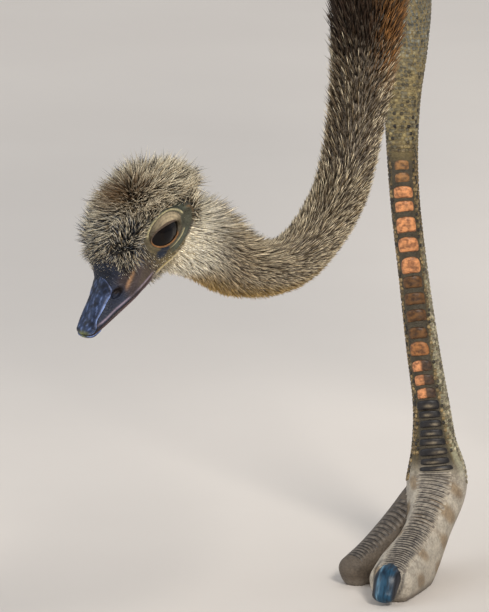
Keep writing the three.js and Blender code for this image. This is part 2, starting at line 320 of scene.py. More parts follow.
def makeStage():
    bm = bmesh.new()
    bmesh.ops.create_grid(bm, x_segments=4, y_segments=4, size=30)
    floor = linkMesh("floor", bm)
    finish = Finish("paleFloor", Roughness=0.9)
    grain = finish.place.noise(3.0, 4.0)
    finish.feed(Base_Color=grain.mix((0.66, 0.60, 0.545, 1), (0.72, 0.66, 0.60, 1)))
    floor.data.materials.append(finish.material)
    makeLight("key", (2.5, -3.3, 3.5), (-0.1, -0.3, 0.5), 1.4, 185, (1.0, 0.96, 0.90))
    makeLight("fill", (-3.4, -2.8, 2.4), (0.0, 0.0, 0.5), 3.0, 55, (0.90, 0.95, 1.0))
    makeLight("top", (0.4, 1.6, 4.6), (0.0, 0.0, 0.6), 3.0, 80, (1.0, 1.0, 1.0))
    world = bpy.data.worlds.new("studio")
    world.use_nodes = True
    world.node_tree.nodes["Background"].inputs["Color"].default_value = (0.86, 0.90, 0.95, 1)
    world.node_tree.nodes["Background"].inputs["Strength"].default_value = 0.52
    bpy.context.scene.world = world
    bpy.context.scene.view_settings.view_transform = "Standard"


makeCamera()
makeStage()
print("camera and stage done")


# the head's own frame: x to the bill, y to her left, z to the crown, from midway between the eyes

headPlace = {"at": (-139, -652, 438), "heading": 22.5, "pitch": 36}
headTurn = Matrix.Rotation(math.radians(-90 - headPlace["heading"]), 3, "Z")
headTurn = headTurn @ Matrix.Rotation(math.radians(headPlace["pitch"]), 3, "Y")
headAxes = np.array(headTurn)
headAt = np.array(headPlace["at"], float)


def fromHead(points):
    return points @ headAxes.T + headAt


def toHead(points):
    return (points - headAt) @ headAxes


mouthLine = ((-14, -27.5), (3, -24), (20, -20.8), (50, -21.5), (64, -21), (78, -20.5), (99, -21))
gapeCorner = -13
eyeBall = {"at": (-3, 15.0, -0.8), "radius": 21.0, "depth": 12.2, "cornea": 0.9}
lids = {"at": (-3.0, -0.8), "long": 16.4, "back": 18.2, "point": 1.5, "tall": 8.9, "tilt": 19, "rim": 0.9}
nostril = {"at": (57.5, 12.4, -9.5), "long": 7.6, "tall": 3.8, "depth": 4.5}
earHole = {"at": (-29, -8), "long": 9, "tall": 8, "depth": 3.0}


def lidRing(x, z):
    # 1 on the edge of the eye's opening, less inside it
    tilt = math.radians(lids["tilt"])
    dx = x - lids["at"][0]
    dz = z - lids["at"][1]
    along = dx * math.cos(tilt) + dz * math.sin(tilt)
    across = dz * math.cos(tilt) - dx * math.sin(tilt)
    across = np.where(across > 0, across * 1.08, across * 0.96)
    front = (along / lids["long"]) ** 2
    back = np.abs(along / lids["back"])
    back = np.where(back < 1, back ** lids["point"], back**2)
    return np.sqrt(np.where(along > 0, front, back) + (across / lids["tall"]) ** 2)


def lidSide(x, z):
    # how far above the middle line of the eye's opening a place is
    tilt = math.radians(lids["tilt"])
    return (z - lids["at"][1]) * math.cos(tilt) - (x - lids["at"][0]) * math.sin(tilt)


def foldRing(x, z):
    # 1 on the pale fold that runs round the lids, higher above the eye than before and behind it
    tilt = math.radians(lids["tilt"])
    dx = x - lids["at"][0]
    dz = z - lids["at"][1]
    along = dx * math.cos(tilt) + dz * math.sin(tilt) + 1.8
    across = dz * math.cos(tilt) - dx * math.sin(tilt) - 2.4
    return np.hypot(along / 21.2, across / 15.2)


def eyeDepth(x, z):
    # how far out from the head's middle plane the eyeball reaches
    away = np.hypot(x - eyeBall["at"][0], z - eyeBall["at"][2]) / eyeBall["radius"]
    return eyeBall["at"][1] + eyeBall["depth"] * np.sqrt(np.maximum(1 - away**2, 0))


def sculptHead(points, shares, angles):
    x, y, z = points.T.copy()
    side = np.sign(y)
    out = np.abs(y)
    # the crown is broad above the eyes
    broad = smoothStep(10, 22, z) * smoothStep(-44, -24, x) * smoothStep(56, 40, x)
    out = out * (1 + 0.2 * broad)
    z = z + 2.0 * broad
    # brow ridge and cheek
    facing = smoothStep(6, 14, out)
    out = out + 1.6 * bump(x + 2, 15) * bump(z - 11, 6) * facing
    out = out - 1.8 * bump(x - 27, 9) * bump(z + 2, 9) * facing
    # the groove on each side of the culmen, from the nostril back
    out = out - 1.4 * smoothStep(24, 36, x) * (1 - smoothStep(66, 78, x)) * bump(z + 7 + (x - 40) * 0.25, 4) * facing
    # eye opening, lids and the fold round them
    ring = lidRing(x, z)
    onSide = facing * (z < 20) * (z > -21)
    ball = eyeDepth(x, z)
    lidSkin = np.maximum(out, ball + lids["rim"] + 0.5)
    lidSkin = np.where(ring < 1.9, lidSkin, out)
    blend = 1 - smoothStep(1.25, 1.75, ring)
    out = out * (1 - blend * onSide) + lidSkin * blend * onSide
    folds = foldRing(x, z)
    relief = 0.7 * bump(folds - 1.0, 0.06) - 0.9 * bump(folds - 0.89, 0.05) - 0.7 * bump(folds - 1.12, 0.05)
    relief = relief + 0.16 * np.sin(folds * 42) * smoothStep(1.5, 1.2, folds) * smoothStep(0.5, 0.65, folds)
    out = out + relief * facing * (z < 20) * (z > -21)
    hole = 1 - smoothStep(0.9, 1.0, ring)
    out = out * (1 - hole * onSide) + (ball - 3.5) * hole * onSide
    # mouth, with soft lips that end at the gape's corner
    mouthX, mouthZ = np.array(mouthLine).T
    below = z - np.interp(x, mouthX, mouthZ)
    mouth = smoothStep(gapeCorner - 2, gapeCorner + 5, x) * facing
    out = out - mouth * (1.9 * bump(below, 0.9) - 0.8 * bump(below - 2.6, 1.4) - 0.5 * bump(below + 2.4, 1.3))
    out = out - mouth * 0.8 * smoothStep(0, -1.5, below)
    # skin folds below and behind the gape
    for k in range(3):
        fold = z + 31 + 5 * k + (x + 12) * 0.35
        out = out - 0.5 * bump(fold, 1.0) * smoothStep(-34, -20, x) * (1 - smoothStep(6, 16, x)) * facing
    # ear: a shallow bowl with a raised rim behind
    dx = (x - earHole["at"][0]) / earHole["long"]
    dz = (z - earHole["at"][1]) / earHole["tall"]
    bowl = np.sqrt(dx * dx + dz * dz)
    out = out - facing * earHole["depth"] * (1 - smoothStep(0.15, 0.9, bowl))
    out = out + facing * 1.4 * bump(bowl - 1.05, 0.16) * smoothStep(0.2, -0.4, dx)
    # nostril
    dx = (x - nostril["at"][0]) / nostril["long"]
    dz = np.hypot(out - nostril["at"][1], z - nostril["at"][2]) / nostril["tall"]
    pit = np.sqrt(dx * dx + dz * dz)
    sink = nostril["depth"] * (1 - smoothStep(0.55, 1.0, pit)) - 0.7 * bump(pit - 1.15, 0.18)
    out = out - sink * 0.75
    z = z - sink * 0.55
    return fromHead(np.column_stack([x, side * out, z]))


# the skin: each part is a closed tube, with its own place on the one unwrap

# x, y, z, half width, back, belly, turn, and how boxy the sides are (1 is round)
skinParts = {
    "trunk": {
        "stations": [
            (0, 452, 1064, 24, 18, 22, 0, 1),
            (0, 400, 1090, 42, 34, 42, 0, 1),
            (0, 338, 1098, 60, 48, 62, 0, 1),
            (0, 252, 1088, 106, 98, 130, 0, 1),
            (0, 112, 1066, 166, 170, 206, 0, 1),
            (0, -38, 1042, 200, 206, 230, 0, 1),
            (0, -186, 1020, 202, 206, 228, 0, 1),
            (0, -310, 998, 172, 178, 196, 0, 1),
            (0, -380, 980, 118, 124, 132, 0, 1),
        ],
        "domes": (16, 45),
        "domeRows": (0.05, 0.08),
        "pace": ((0, 1), (0, 1)),
        "rings": 96,
        "sides": 96,
        "chart": (0.0, 0.48, 0.42, 1.0),
    },
    "neck": {
        "stations": [
            (0, -270, 1030, 62, 66, 66, 0, 1),
            (-1, -340, 1008, 62, 66, 70, 0, 1),
            (-3, -392, 978, 58, 60, 66, 0, 1),
            (-10, -436, 892, 42, 43, 47, -4, 1),
            (-20, -430, 772, 31, 32, 33, -9, 1),
            (-28, -413, 662, 27.5, 28, 29, -14, 1),
            (-33, -407, 569, 24.5, 24.5, 24.5, -18, 1),
            (-38, -418, 492, 21.5, 21.5, 21.5, -21, 1),
            (-47, -440, 429, 20.5, 20.5, 20.5, -22, 1),
            (-68, -490, 387, 20, 20, 20, -22, 1),
            (-94, -550, 391, 20, 20, 22, -22, 1),
            (-112, -593, 420, 21.5, 24, 29, -22, 1),
            (-128, -630, 437, 20, 25, 32, -22, 1),
        ],
        "domes": (10, 8),
        "domeRows": (0.02, 0.02),
        "pace": ((0, 0.3, 1), (0, 0.34, 1)),
        "rings": 230,
        "sides": 64,
        "chart": (0.44, 0.0, 1.0, 0.22),
    },
    "head": {
        "stations": [
            (-49, 0, 4, 15, 17, 16, 90, 1),
            (-42, 0, 2, 21.5, 26, 25, 90, 0.95),
            (-30, 0, 0, 25, 32, 32, 90, 0.9),
            (-16, 0, -3, 26, 36.5, 34, 90, 0.8),
            (0, 0, -6, 25.4, 39.5, 33, 90, 0.75),
            (14, 0, -9, 24, 38.6, 27, 90, 0.72),
            (27, 0, -13, 22.6, 36, 21, 90, 0.74),
            (38, 0, -17, 21.4, 30.6, 15.5, 90, 0.8),
            (48, 0, -20, 19.8, 26, 11.3, 90, 1.1),
            (60, 0, -21, 17.4, 20.5, 8.5, 90, 1.25),
            (72, 0, -20.8, 15.2, 14.4, 7, 90, 1.15),
            (84, 0, -20.6, 12.9, 9.2, 5.4, 90, 1.0),
            (93, 0, -21, 9.8, 5.4, 3.8, 90, 0.95),
        ],
        "domes": (7, 5),
        "domeRows": (0.06, 0.05),
        "pace": ((0, 1), (0, 1)),
        "sculpt": sculptHead,
        "rings": 170,
        "sides": 232,
        "chart": (0.0, 0.0, 0.42, 0.46),
    },
    "leg": {
        "stations": [
            (-146, -88, 979, 82, 110, 110, 0, 1),
            (-158, -66, 874, 80, 100, 102, 0, 1),
            (-162, -34, 764, 62, 74, 80, 0, 1),
            (-160, -6, 664, 40, 46, 52, 0, 1),
            (-153, 16, 579, 25.5, 28.5, 32.5, 0, 1),
            (-146, 31, 517, 21.8, 23.8, 28.4, 0, 1),
            (-144, 29, 476, 18.2, 18.8, 21.8, 0, 1),
            (-145, 19, 428, 15.8, 15.8, 18.8, 0, 1),
            (-143, 13, 382, 13.3, 14.3, 17.8, 0, 1),
            (-139, 9, 337, 12.2, 13.8, 17.8, 0, 1),
            (-130, 7, 269, 12.4, 13.8, 17.8, 0, 1),
            (-120, 6, 200, 14, 14.8, 18.8, 0, 1),
            (-112, 5, 152, 15.6, 15.8, 20.8, 0, 1),
            (-108, 3, 116, 19.6, 19.4, 23.4, 0, 1),
            (-105, 1, 82, 28, 25, 29, 0, 0.95),
            (-105, -28, 50, 23, 23.6, 30, 0, 0.9),
            (-106, -62, 30, 20.8, 22.8, 43, 0, 0.85),
            (-106.5, -94, 23, 20.8, 19.8, 33, 0, 0.85),
            (-107, -118, 18, 19.8, 16.8, 25, 0, 0.9),
        ],
        "domes": (10, 12.5),
        "domeRows": (0.015, 0.05),
        "pace": ((0, 0.16, 0.72, 1), (0, 0.25, 0.74, 1)),
        "rings": 300,
        "sides": 64,
        "chart": (0.44, 0.24, 1.0, 0.44),
    },
    "toe": {
        "stations": [
            (-117, 4, 64, 20, 19, 21, 0, 1),
            (-133, -25, 40, 17.2, 17.2, 26, -25, 0.95),
            (-147, -54, 23, 15.2, 14.2, 32, -25, 0.9),
            (-157, -76, 14.5, 13.8, 11.8, 21, -25, 0.9),
        ],
        "domes": (8, 12),
        "domeRows": (0.08, 0.14),
        "pace": ((0, 1), (0, 1)),
        "rings": 60,
        "sides": 48,
        "chart": (0.44, 0.68, 0.7, 0.8),
    },
}
leftFoot = {"back": 120, "hip": 979, "instep": 80}


def layFlat(points, shares, angles):
    # soles: nothing below the floor
    points[:, 2] = np.maximum(points[:, 2], 0)
    return points


def layFoot(points, shares, angles):
    # the big toe narrows on its outer side between the ankle and the first pad
    side = np.sign(points[:, 0])
    out = np.abs(points[:, 0]) - 106.5
    ahead = points[:, 1] - leftFoot["back"] * (side > 0)
    waist = bump(ahead + 46, 30) * smoothStep(12, 34, points[:, 2]) * smoothStep(104, 76, points[:, 2])
    out = np.where(out > 0, out * (1 - 0.36 * waist), out)
    points[:, 0] = side * (106.5 + out)
    return layFlat(points, shares, angles)


def leftSide(part, chart):
    # the mirrored stations, swung back from the hip
    made = dict(part)
    made["stations"] = []
    for x, y, z, *rest in part["stations"]:
        swing = (leftFoot["hip"] - z) / (leftFoot["hip"] - leftFoot["instep"])
        rest[3] = -rest[3]
        made["stations"].append((-x, y + leftFoot["back"] * min(max(swing, 0), 1), z, *rest))
    made["chart"] = chart
    return made


skinParts["leg"]["sculpt"] = layFoot
skinParts["toe"]["sculpt"] = layFlat
skinParts["legLeft"] = leftSide(skinParts["leg"], (0.44, 0.46, 1.0, 0.66))
skinParts["toeLeft"] = leftSide(skinParts["toe"], (0.72, 0.68, 0.98, 0.8))
partNames = list(skinParts)


def makePart(name):
    part = skinParts[name]
    bm = bmesh.new()
    unwrap = bm.loops.layers.uv.new("OFBake")
    bmesh.ops.create_grid(bm, x_segments=part["rings"], y_segments=part["sides"], size=0.5, calc_uvs=True)
    flat = np.array([vert.co[:2] for vert in bm.verts]) + 0.5
    points = partPoints(part, flat[:, 0], flat[:, 1])[0]
    setPlaces(bm, points)
    u0, v0, u1, v1 = part["chart"]
    for face in bm.faces:
        for loop in face.loops:
            u, v = loop[unwrap].uv
            loop[unwrap].uv = (u0 + (u1 - u0) * u, v0 + (v1 - v0) * v)
    bmesh.ops.remove_doubles(bm, verts=bm.verts, dist=1e-6)
    bmesh.ops.dissolve_degenerate(bm, edges=bm.edges, dist=1e-7)
    bmesh.ops.recalc_face_normals(bm, faces=bm.faces)
    return linkMesh(name, bm)


def readSkin(uv):
    # the part, and the place on it, of each point of the unwrap
    kinds = np.zeros(len(uv), int)
    rows = np.zeros((len(uv), 2))
    for k, name in enumerate(partNames):
        u0, v0, u1, v1 = skinParts[name]["chart"]
        edge = 1e-4
        inside = (uv[:, 0] > u0 - edge) & (uv[:, 0] < u1 + edge) & (uv[:, 1] > v0 - edge) & (uv[:, 1] < v1 + edge)
        kinds[inside] = k
        rows[inside] = (uv[inside] - (u0, v0)) / (u1 - u0, v1 - v0)
    return kinds, np.clip(rows, 0, 1)


# how wide a band of skin is smoothed where two parts meet, in millimetres, and how often
seams = {("head", "neck"): (9, 10), ("neck", "trunk"): (50, 30), ("leg", "trunk"): (40, 20), ("leg", "toe"): (7, 8)}


def joinSkin():
    pieces = [makePart(name) for name in partNames]
    body = pieces[0]
    for other in pieces[1:]:
        join = body.modifiers.new(other.name, "BOOLEAN")
        join.operation = "UNION"
        join.solver = "MANIFOLD"
        join.object = other
    shape = body.evaluated_get(bpy.context.evaluated_depsgraph_get())
    mesh = bpy.data.meshes.new_from_object(shape)
    for piece in pieces:
        bpy.data.objects.remove(piece)
    bm = bmesh.new()
    bm.from_mesh(mesh)
    unwrap = bm.loops.layers.uv["OFBake"]
    uv = np.array([face.loops[0][unwrap].uv for face in bm.faces])
    kinds = readSkin(uv)[0]
    names = [partNames[k].replace("Left", "") for k in kinds]
    meeting = {pair: [] for pair in seams}
    bm.faces.index_update()
    for edge in bm.edges:
        touching = [face.index for face in edge.link_faces]
        if len(touching) == 2 and names[touching[0]] != names[touching[1]]:
            pair = tuple(sorted((names[touching[0]], names[touching[1]])))
            if pair in meeting:
                meeting[pair].append((edge.verts[0].co + edge.verts[1].co) / 2)
    for pair, places in meeting.items():
        if not places:
            continue
        width, times = seams[pair]
        tree = KDTree(len(places))
        for k, place in enumerate(places):
            tree.insert(place, k)
        tree.balance()
        near = [vert for vert in bm.verts if tree.find(vert.co)[2] < width / metre]
        for _ in range(times):
            bmesh.ops.smooth_vert(bm, verts=near, factor=0.5, use_axis_x=True, use_axis_y=True, use_axis_z=True)
    bmesh.ops.recalc_face_normals(bm, faces=bm.faces)
    bmesh.ops.triangulate(bm, faces=[face for face in bm.faces if len(face.verts) > 4])
    return linkMesh("skin", bm)


skin = joinSkin()
print("skin joined:", len(skin.data.vertices), "vertices")


def skinRows():
    # place, normal and unwrap of each vertex of the skin
    mesh = skin.data
    count = len(mesh.vertices)
    places = np.empty(count * 3, np.float32)
    mesh.vertices.foreach_get("co", places)
    normals = np.empty(count * 3, np.float32)
    mesh.vertex_normals.foreach_get("vector", normals)
    corners = np.empty(len(mesh.loops), np.int32)
    mesh.loops.foreach_get("vertex_index", corners)
    flat = np.empty(len(mesh.loops) * 2, np.float32)
    mesh.uv_layers["OFBake"].data.foreach_get("uv", flat)
    uv = np.zeros((count, 2))
    uv[corners] = flat.reshape(-1, 2)
    places = places.reshape(-1, 3).astype(float) * metre - originShift
    return places, normals.reshape(-1, 3).astype(float), uv




def scuteBand(height):
    # the middle of the scutes in degrees round the right leg, and how far they reach on each side
    heights = (60, 100, 150, 200, 250, 375)
    front = np.interp(height, heights, (74, 72, 80, 84, 75, 73))
    return front, np.interp(height, heights, (42, 40, 38, 40, 48, 46))


tints = {
    "underBristles": (0.060, 0.056, 0.050),
    "bareHead": (0.13, 0.105, 0.06),
    "lid": (0.43, 0.35, 0.23),
    "lidLow": (0.11, 0.085, 0.05),
    "lidBack": (0.088, 0.10, 0.072),
    "lidLine": (0.56, 0.50, 0.29),
    # painted shade for the creases and wrinkles round the lids
    "lidShade": (0.035, 0.04, 0.035),
    "underEye": (0.019, 0.026, 0.044),
    "cheek": (0.15, 0.115, 0.045),
    "lore": (0.52, 0.29, 0.15),
    "loreDark": (0.055, 0.04, 0.04),
    "ear": (0.060, 0.060, 0.042),
    "earEdge": (0.16, 0.10, 0.05),
    "billTop": (0.008, 0.011, 0.022),
    "billSide": (0.016, 0.021, 0.040),
    "billLow": (0.075, 0.045, 0.045),
    # near black: painted shade in the mouth's slit, inside the eye's opening and inside the nostril
    "billLine": (0.30, 0.24, 0.31),
    "mouth": (0.02, 0.015, 0.015),
    "gape": (0.48, 0.36, 0.13),
    # pale cream, painted lighter than the throat's own cream as a painted highlight
    "throat": (0.74, 0.66, 0.50),
    "neck": (0.17, 0.14, 0.11),
    "body": (0.06, 0.05, 0.042),
    "thigh": (0.27, 0.225, 0.195),
    "shank": (0.12, 0.092, 0.045),
    "shankBack": (0.36, 0.34, 0.23),
    "hock": (0.27, 0.215, 0.11),
    "shankGap": (0.070, 0.058, 0.040),
    "toe": (0.47, 0.42, 0.35),
    "toeOuter": (0.115, 0.092, 0.072),
    "sole": (0.20, 0.17, 0.14),
}


def nearLine(x, z, line):
    # distance to a bent line in the head's side view
    best = np.full(len(x), 1e9)
    for (ax, az), (bx, bz) in zip(line, line[1:]):
        length = (bx - ax) ** 2 + (bz - az) ** 2
        t = np.clip(((x - ax) * (bx - ax) + (z - az) * (bz - az)) / length, 0, 1)
        best = np.minimum(best, np.hypot(x - ax - t * (bx - ax), z - az - t * (bz - az)))
    return best


def headTint(points):
    x, y, z = toHead(points).T
    out = np.abs(y)
    colours = np.tile(tints["underBristles"], (len(x), 1))
    mouthX, mouthZ = np.array(mouthLine).T
    below = z - np.interp(x, mouthX, mouthZ)
    bare = smoothStep(1.3, 1.05, foldRing(x, z)) * smoothStep(12, 17, out)
    face = smoothStep(4, 16, x) * smoothStep(12 - (x - 20) * 0.35, 6 - (x - 20) * 0.35, z)
    cheek = smoothStep(-24, -12, x) * smoothStep(0, -8, z)
    colours = mixRows(colours, tints["bareHead"], np.maximum(bare, face * smoothStep(8, 12, out)))
    colours = mixRows(colours, tints["cheek"], cheek * smoothStep(46, 20, x) * smoothStep(0.5, 2, below))
    colours = mixRows(colours, tints["loreDark"], cheek * smoothStep(8, 28, x) * smoothStep(0.5, 2, below) * 0.75)
    grain = 0.5 + 0.5 * np.sin(x * 1.7 + z * 0.9) * np.sin(z * 2.1 - x * 0.6)
    colours = mixRows(colours, tints["loreDark"], cheek * grain * smoothStep(46, 20, x) * 0.55)
    # the cream throat, painted lighter than its own colour as a painted highlight
    colours = mixRows(colours, tints["throat"], smoothStep(1, -3, below) * smoothStep(44, 22, x) * (x > -60))
    # bill
    bill = smoothStep(40, 50, x)
    colours = mixRows(colours, tints["billSide"], bill * smoothStep(-1, 1, below))
    colours = mixRows(colours, tints["billTop"], bill * smoothStep(11, 7, out) * smoothStep(-1, 1, below))
    colours = mixRows(colours, tints["billLow"], smoothStep(14, 30, x) * smoothStep(0.4, -0.8, below))
    # pale lines along both lips, and the markings of the face
    lips = smoothStep(22, 30, x) * smoothStep(92, 84, x) * (out > 5)
    colours = mixRows(colours, tints["billLine"], bump(below - 3.4, 0.55) * lips * 0.8)
    colours = mixRows(colours, tints["billLine"], bump(below + 2.6, 0.5) * lips * 0.6)
    lore = nearLine(x, z, ((22, 8), (30, 2), (41, -5), (53, -12)))
    colours = mixRows(colours, tints["loreDark"], bump(lore - 5.2, 3.4) * smoothStep(16, 24, x) * smoothStep(58, 50, x) * (out > 8))
    colours = mixRows(colours, tints["lore"], bump(lore, 1.7) * smoothStep(22, 32, x) * smoothStep(55, 46, x) * (out > 8) * 0.75)
    ring = lidRing(x, z)
    onSide = smoothStep(12, 17, out)
    above = lidSide(x, z)
    behind = smoothStep(6, -8, x)
    folds = foldRing(x, z)
    colours = mixRows(colours, tints["lidBack"], smoothStep(1.55, 1.3, folds) * behind * onSide)
    colours = mixRows(colours, tints["lidLow"], smoothStep(1.02, 0.9, folds) * onSide)
    colours = mixRows(colours, tints["lid"], smoothStep(0.94, 0.8, folds) * smoothStep(4, 9, above) * (0.1 + 0.9 * smoothStep(8, -10, x)) * onSide)
    fold = np.maximum(smoothStep(2, 7, above), behind) * onSide
    # painted shade in the grooves on each side of the pale fold, in the outer crease behind the eye, and in the lids'
    # fine wrinkles
    colours = mixRows(colours, tints["lidShade"], bump(folds - 0.91, 0.04) * fold * 0.8)
    colours = mixRows(colours, tints["lidLine"], bump(folds - 1.0, 0.045) * fold)
    colours = mixRows(colours, tints["lidShade"], bump(folds - 1.1, 0.05) * fold * 0.9)
    colours = mixRows(colours, tints["lidShade"], bump(folds - 1.36, 0.05) * behind * onSide * 0.8)
    wrinkleShade = (0.5 + 0.5 * np.sin(folds * 42)) * smoothStep(1.5, 1.35, folds) * smoothStep(0.5, 0.65, folds)
    colours = mixRows(colours, tints["lidShade"], wrinkleShade * onSide * 0.4)
    under = np.hypot((x - 8.5) / 1.5, z + 10.5)
    colours = mixRows(colours, tints["underEye"], smoothStep(5.4, 3.6, under) * onSide)
    # painted shade inside the eye's opening, where the skin sinks behind the eyeball
    colours = mixRows(colours, tints["mouth"], smoothStep(0.93, 0.88, ring) * onSide)
    colours = mixRows(colours, tints["ear"], smoothStep(1.15, 0.9, np.hypot((x + 29) / 9, (z + 8) / 8)) * onSide)
    edge = bump(np.hypot((x + 27) / 10, (z + 8) / 9) - 1.1, 0.09) * smoothStep(-30, -35, x)
    colours = mixRows(colours, tints["earEdge"], edge * onSide)
    gape = nearLine(x, z, ((-30, -33), (-13, -28), (3, -25.4), (20, -22.4)))
    colours = mixRows(colours, tints["gape"], bump(gape, 1.1) * onSide * 0.8)
    # painted shade in the slit between the bill's halves, over the sculpted groove
    colours = mixRows(colours, tints["mouth"], bump(below, 0.9) * smoothStep(gapeCorner - 2, gapeCorner + 2, x) * (out > 5))
    # painted shade inside the nostril's pit
    dx = (x - nostril["at"][0]) / nostril["long"]
    dz = np.hypot(out - nostril["at"][1], z - nostril["at"][2]) / nostril["tall"]
    return mixRows(colours, tints["mouth"], 1 - smoothStep(0.75, 1.02, np.hypot(dx, dz)))


def skinTint(points, uv):
    kinds, rows = readSkin(uv)
    colours = np.tile(tints["body"], (len(points), 1))
    for k, name in enumerate(partNames):
        here = kinds == k
        spots = points[here]
        if not len(spots):
            continue
        height = spots[:, 2]
        if name == "head":
            colours[here] = headTint(spots)
        elif name == "neck":
            shade = np.tile(tints["neck"], (len(spots), 1))
            shade = mixRows(shade, tints["body"], smoothStep(560, 760, height))
            nearHead = toHead(spots)
            # the cream throat, painted lighter than its own colour as a painted highlight
            throat = smoothStep(-56, -34, nearHead[:, 2]) * smoothStep(-40, -20, nearHead[:, 0])
            colours[here] = mixRows(shade, tints["throat"], throat * 0.8)
        elif name.startswith("leg"):
            angle = rows[here][:, 1] * 2 * math.pi
            front, half = scuteBand(height)
            turn = np.degrees(angle) - front if not name.endswith("Left") else 180 - np.degrees(angle) - front
            turn = (turn + 180) % 360 - 180
            shade = np.tile(tints["shank"], (len(spots), 1))
            inner = smoothStep(-half - 4, -half - 14, turn) * smoothStep(330, 260, height)
            shade = mixRows(shade, tints["shankBack"], np.maximum(inner, smoothStep(95, 130, np.abs(turn))))
            shade = mixRows(shade, tints["hock"], smoothStep(372, 410, height))
            shade = mixRows(shade, tints["thigh"], smoothStep(500, 570, height))
            band = smoothStep(half + 5, half - 1, np.abs(turn))
            shade = mixRows(shade, tints["shankGap"], band * smoothStep(378, 368, height) * smoothStep(92, 100, height))
            nailed = np.hypot(np.abs(spots[:, 0]) - 106.3, 0.7 * (height - 24)) - 12
            shade = mixRows(shade, tints["toe"], smoothStep(108, 80, height))
            dirt = np.sin(spots[:, 1] * 0.13 + height * 0.09) * np.sin(np.abs(spots[:, 0]) * 0.17 - height * 0.12 + 1.0)
            dirt = smoothStep(0.1, 0.75, dirt) * smoothStep(108, 80, height)
            shade = mixRows(shade, (0.24, 0.155, 0.075), dirt * 0.7)
            ahead = smoothStep(-108, -118, spots[:, 1] - (leftFoot["back"] if name.endswith("Left") else 0))
            shade = mixRows(shade, (0.05, 0.045, 0.045), bump(nailed - 1.5, 1.4) * ahead * 0.8)
            colours[here] = mixRows(shade, tints["sole"], smoothStep(9, 2, height))
        elif name.startswith("toe"):
            shade = np.tile(tints["toeOuter"], (len(spots), 1))
            colours[here] = mixRows(shade, tints["sole"], smoothStep(9, 2, height))
    return colours


places, normals, unwrap = skinRows()
paint(skin.data, skinTint(places, unwrap))

skinFinish = Finish("bareSkin", Roughness=0.55, Specular_IOR_Level=0.25)
mottle = skinFinish.place.noise(90.0, 4.0)
fine = skinFinish.place.noise(420.0, 3.0)
shade = mottle.between(0.3, 0.7) * 0.5 + fine.between(0.3, 0.7) * 0.5
darker = shade.mix((0.62, 0.60, 0.58, 1), (1.25, 1.24, 1.2, 1))
skinFinish.feed(Base_Color=darker.times(skinFinish.attribute("tint")))
skinFinish.feed(Roughness=shade * 0.25 + 0.42)
wrinkles = skinFinish.place.cells(260.0, "DISTANCE_TO_EDGE", (1, 1, 1.6))
skinFinish.feed(Normal=skinFinish.bump(wrinkles.between(0.0, 0.25), 0.0004, 0.6))
dress(skin, skinFinish, "bare_skin", *[
    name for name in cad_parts
    if name.split("_")[0] in ("trunk", "neck", "head", "thigh", "shin", "tarsus", "toe", "ear", "bill")])


# eyes

eyeTints = {"pupil": (0.002, 0.002, 0.003), "iris": (0.008, 0.004, 0.002), "rim": (0.003, 0.002, 0.002)}


def makeEye(side, name):
    bm = bmesh.new()
    bmesh.ops.create_uvsphere(bm, u_segments=48, v_segments=40, radius=eyeBall["radius"])
    local = np.array([vert.co for vert in bm.verts])
    fromAxis = np.hypot(local[:, 0], local[:, 1])
    front = local[:, 2] > 0
    # the pole, with its close rings, faces outwards under the cornea
    bulge = eyeBall["cornea"] * smoothStep(9.5, 3, fromAxis) * front
    deep = local[:, 2] * eyeBall["depth"] / eyeBall["radius"]
    points = np.column_stack([local[:, 0], side * (deep + bulge), local[:, 1]])
    points += np.array([eyeBall["at"][0], side * eyeBall["at"][1], eyeBall["at"][2]])
    setPlaces(bm, fromHead(points))
    bmesh.ops.recalc_face_normals(bm, faces=bm.faces)
    eye = linkMesh("eyeball_" + name, bm)
    colours = np.tile(eyeTints["iris"], (len(local), 1))
    streaks = 0.8 + 0.3 * np.sin(np.arctan2(local[:, 1], local[:, 0]) * 24)
    colours = colours * streaks[:, None]
    colours = mixRows(colours, eyeTints["rim"], smoothStep(7.6, 8.8, fromAxis))
    colours = mixRows(colours, eyeTints["pupil"], 1 - smoothStep(4.6, 5.4, fromAxis))
    paint(eye.data, colours)
    return eye


eyeFinish = Finish("wetEye", Roughness=0.08, Specular_IOR_Level=0.10, Coat_Weight=0.04, Coat_Roughness=0.03)
speckle = eyeFinish.place.noise(900.0, 3.0)
eyeFinish.feed(Base_Color=speckle.between(0.35, 0.65).mix(
    eyeFinish.attribute("tint"), (0.004, 0.003, 0.003, 1)))
for side, name in ((1, "left"), (-1, "right")):
    dress(makeEye(side, name), eyeFinish, "wet_eye", "eye_" + name)


# lid edges: a soft rim round each eye's opening, thicker above

lidEdge = {"above": 1.0, "below": 0.55, "lift": 0.7, "steps": 96, "sides": 10}


def lidPath(angles):
    # the opening's edge in the head's side view
    tilt = math.radians(lids["tilt"])
    turn = np.cos(angles)
    along = np.where(turn > 0, lids["long"] * turn, -lids["back"] * np.abs(turn) ** (2 / lids["point"]))
    across = lids["tall"] * np.sin(angles)
    across = np.where(across > 0, across / 1.08, across / 0.96)
    x = lids["at"][0] + along * math.cos(tilt) - across * math.sin(tilt)
    z = lids["at"][1] + along * math.sin(tilt) + across * math.cos(tilt)
    return x, z


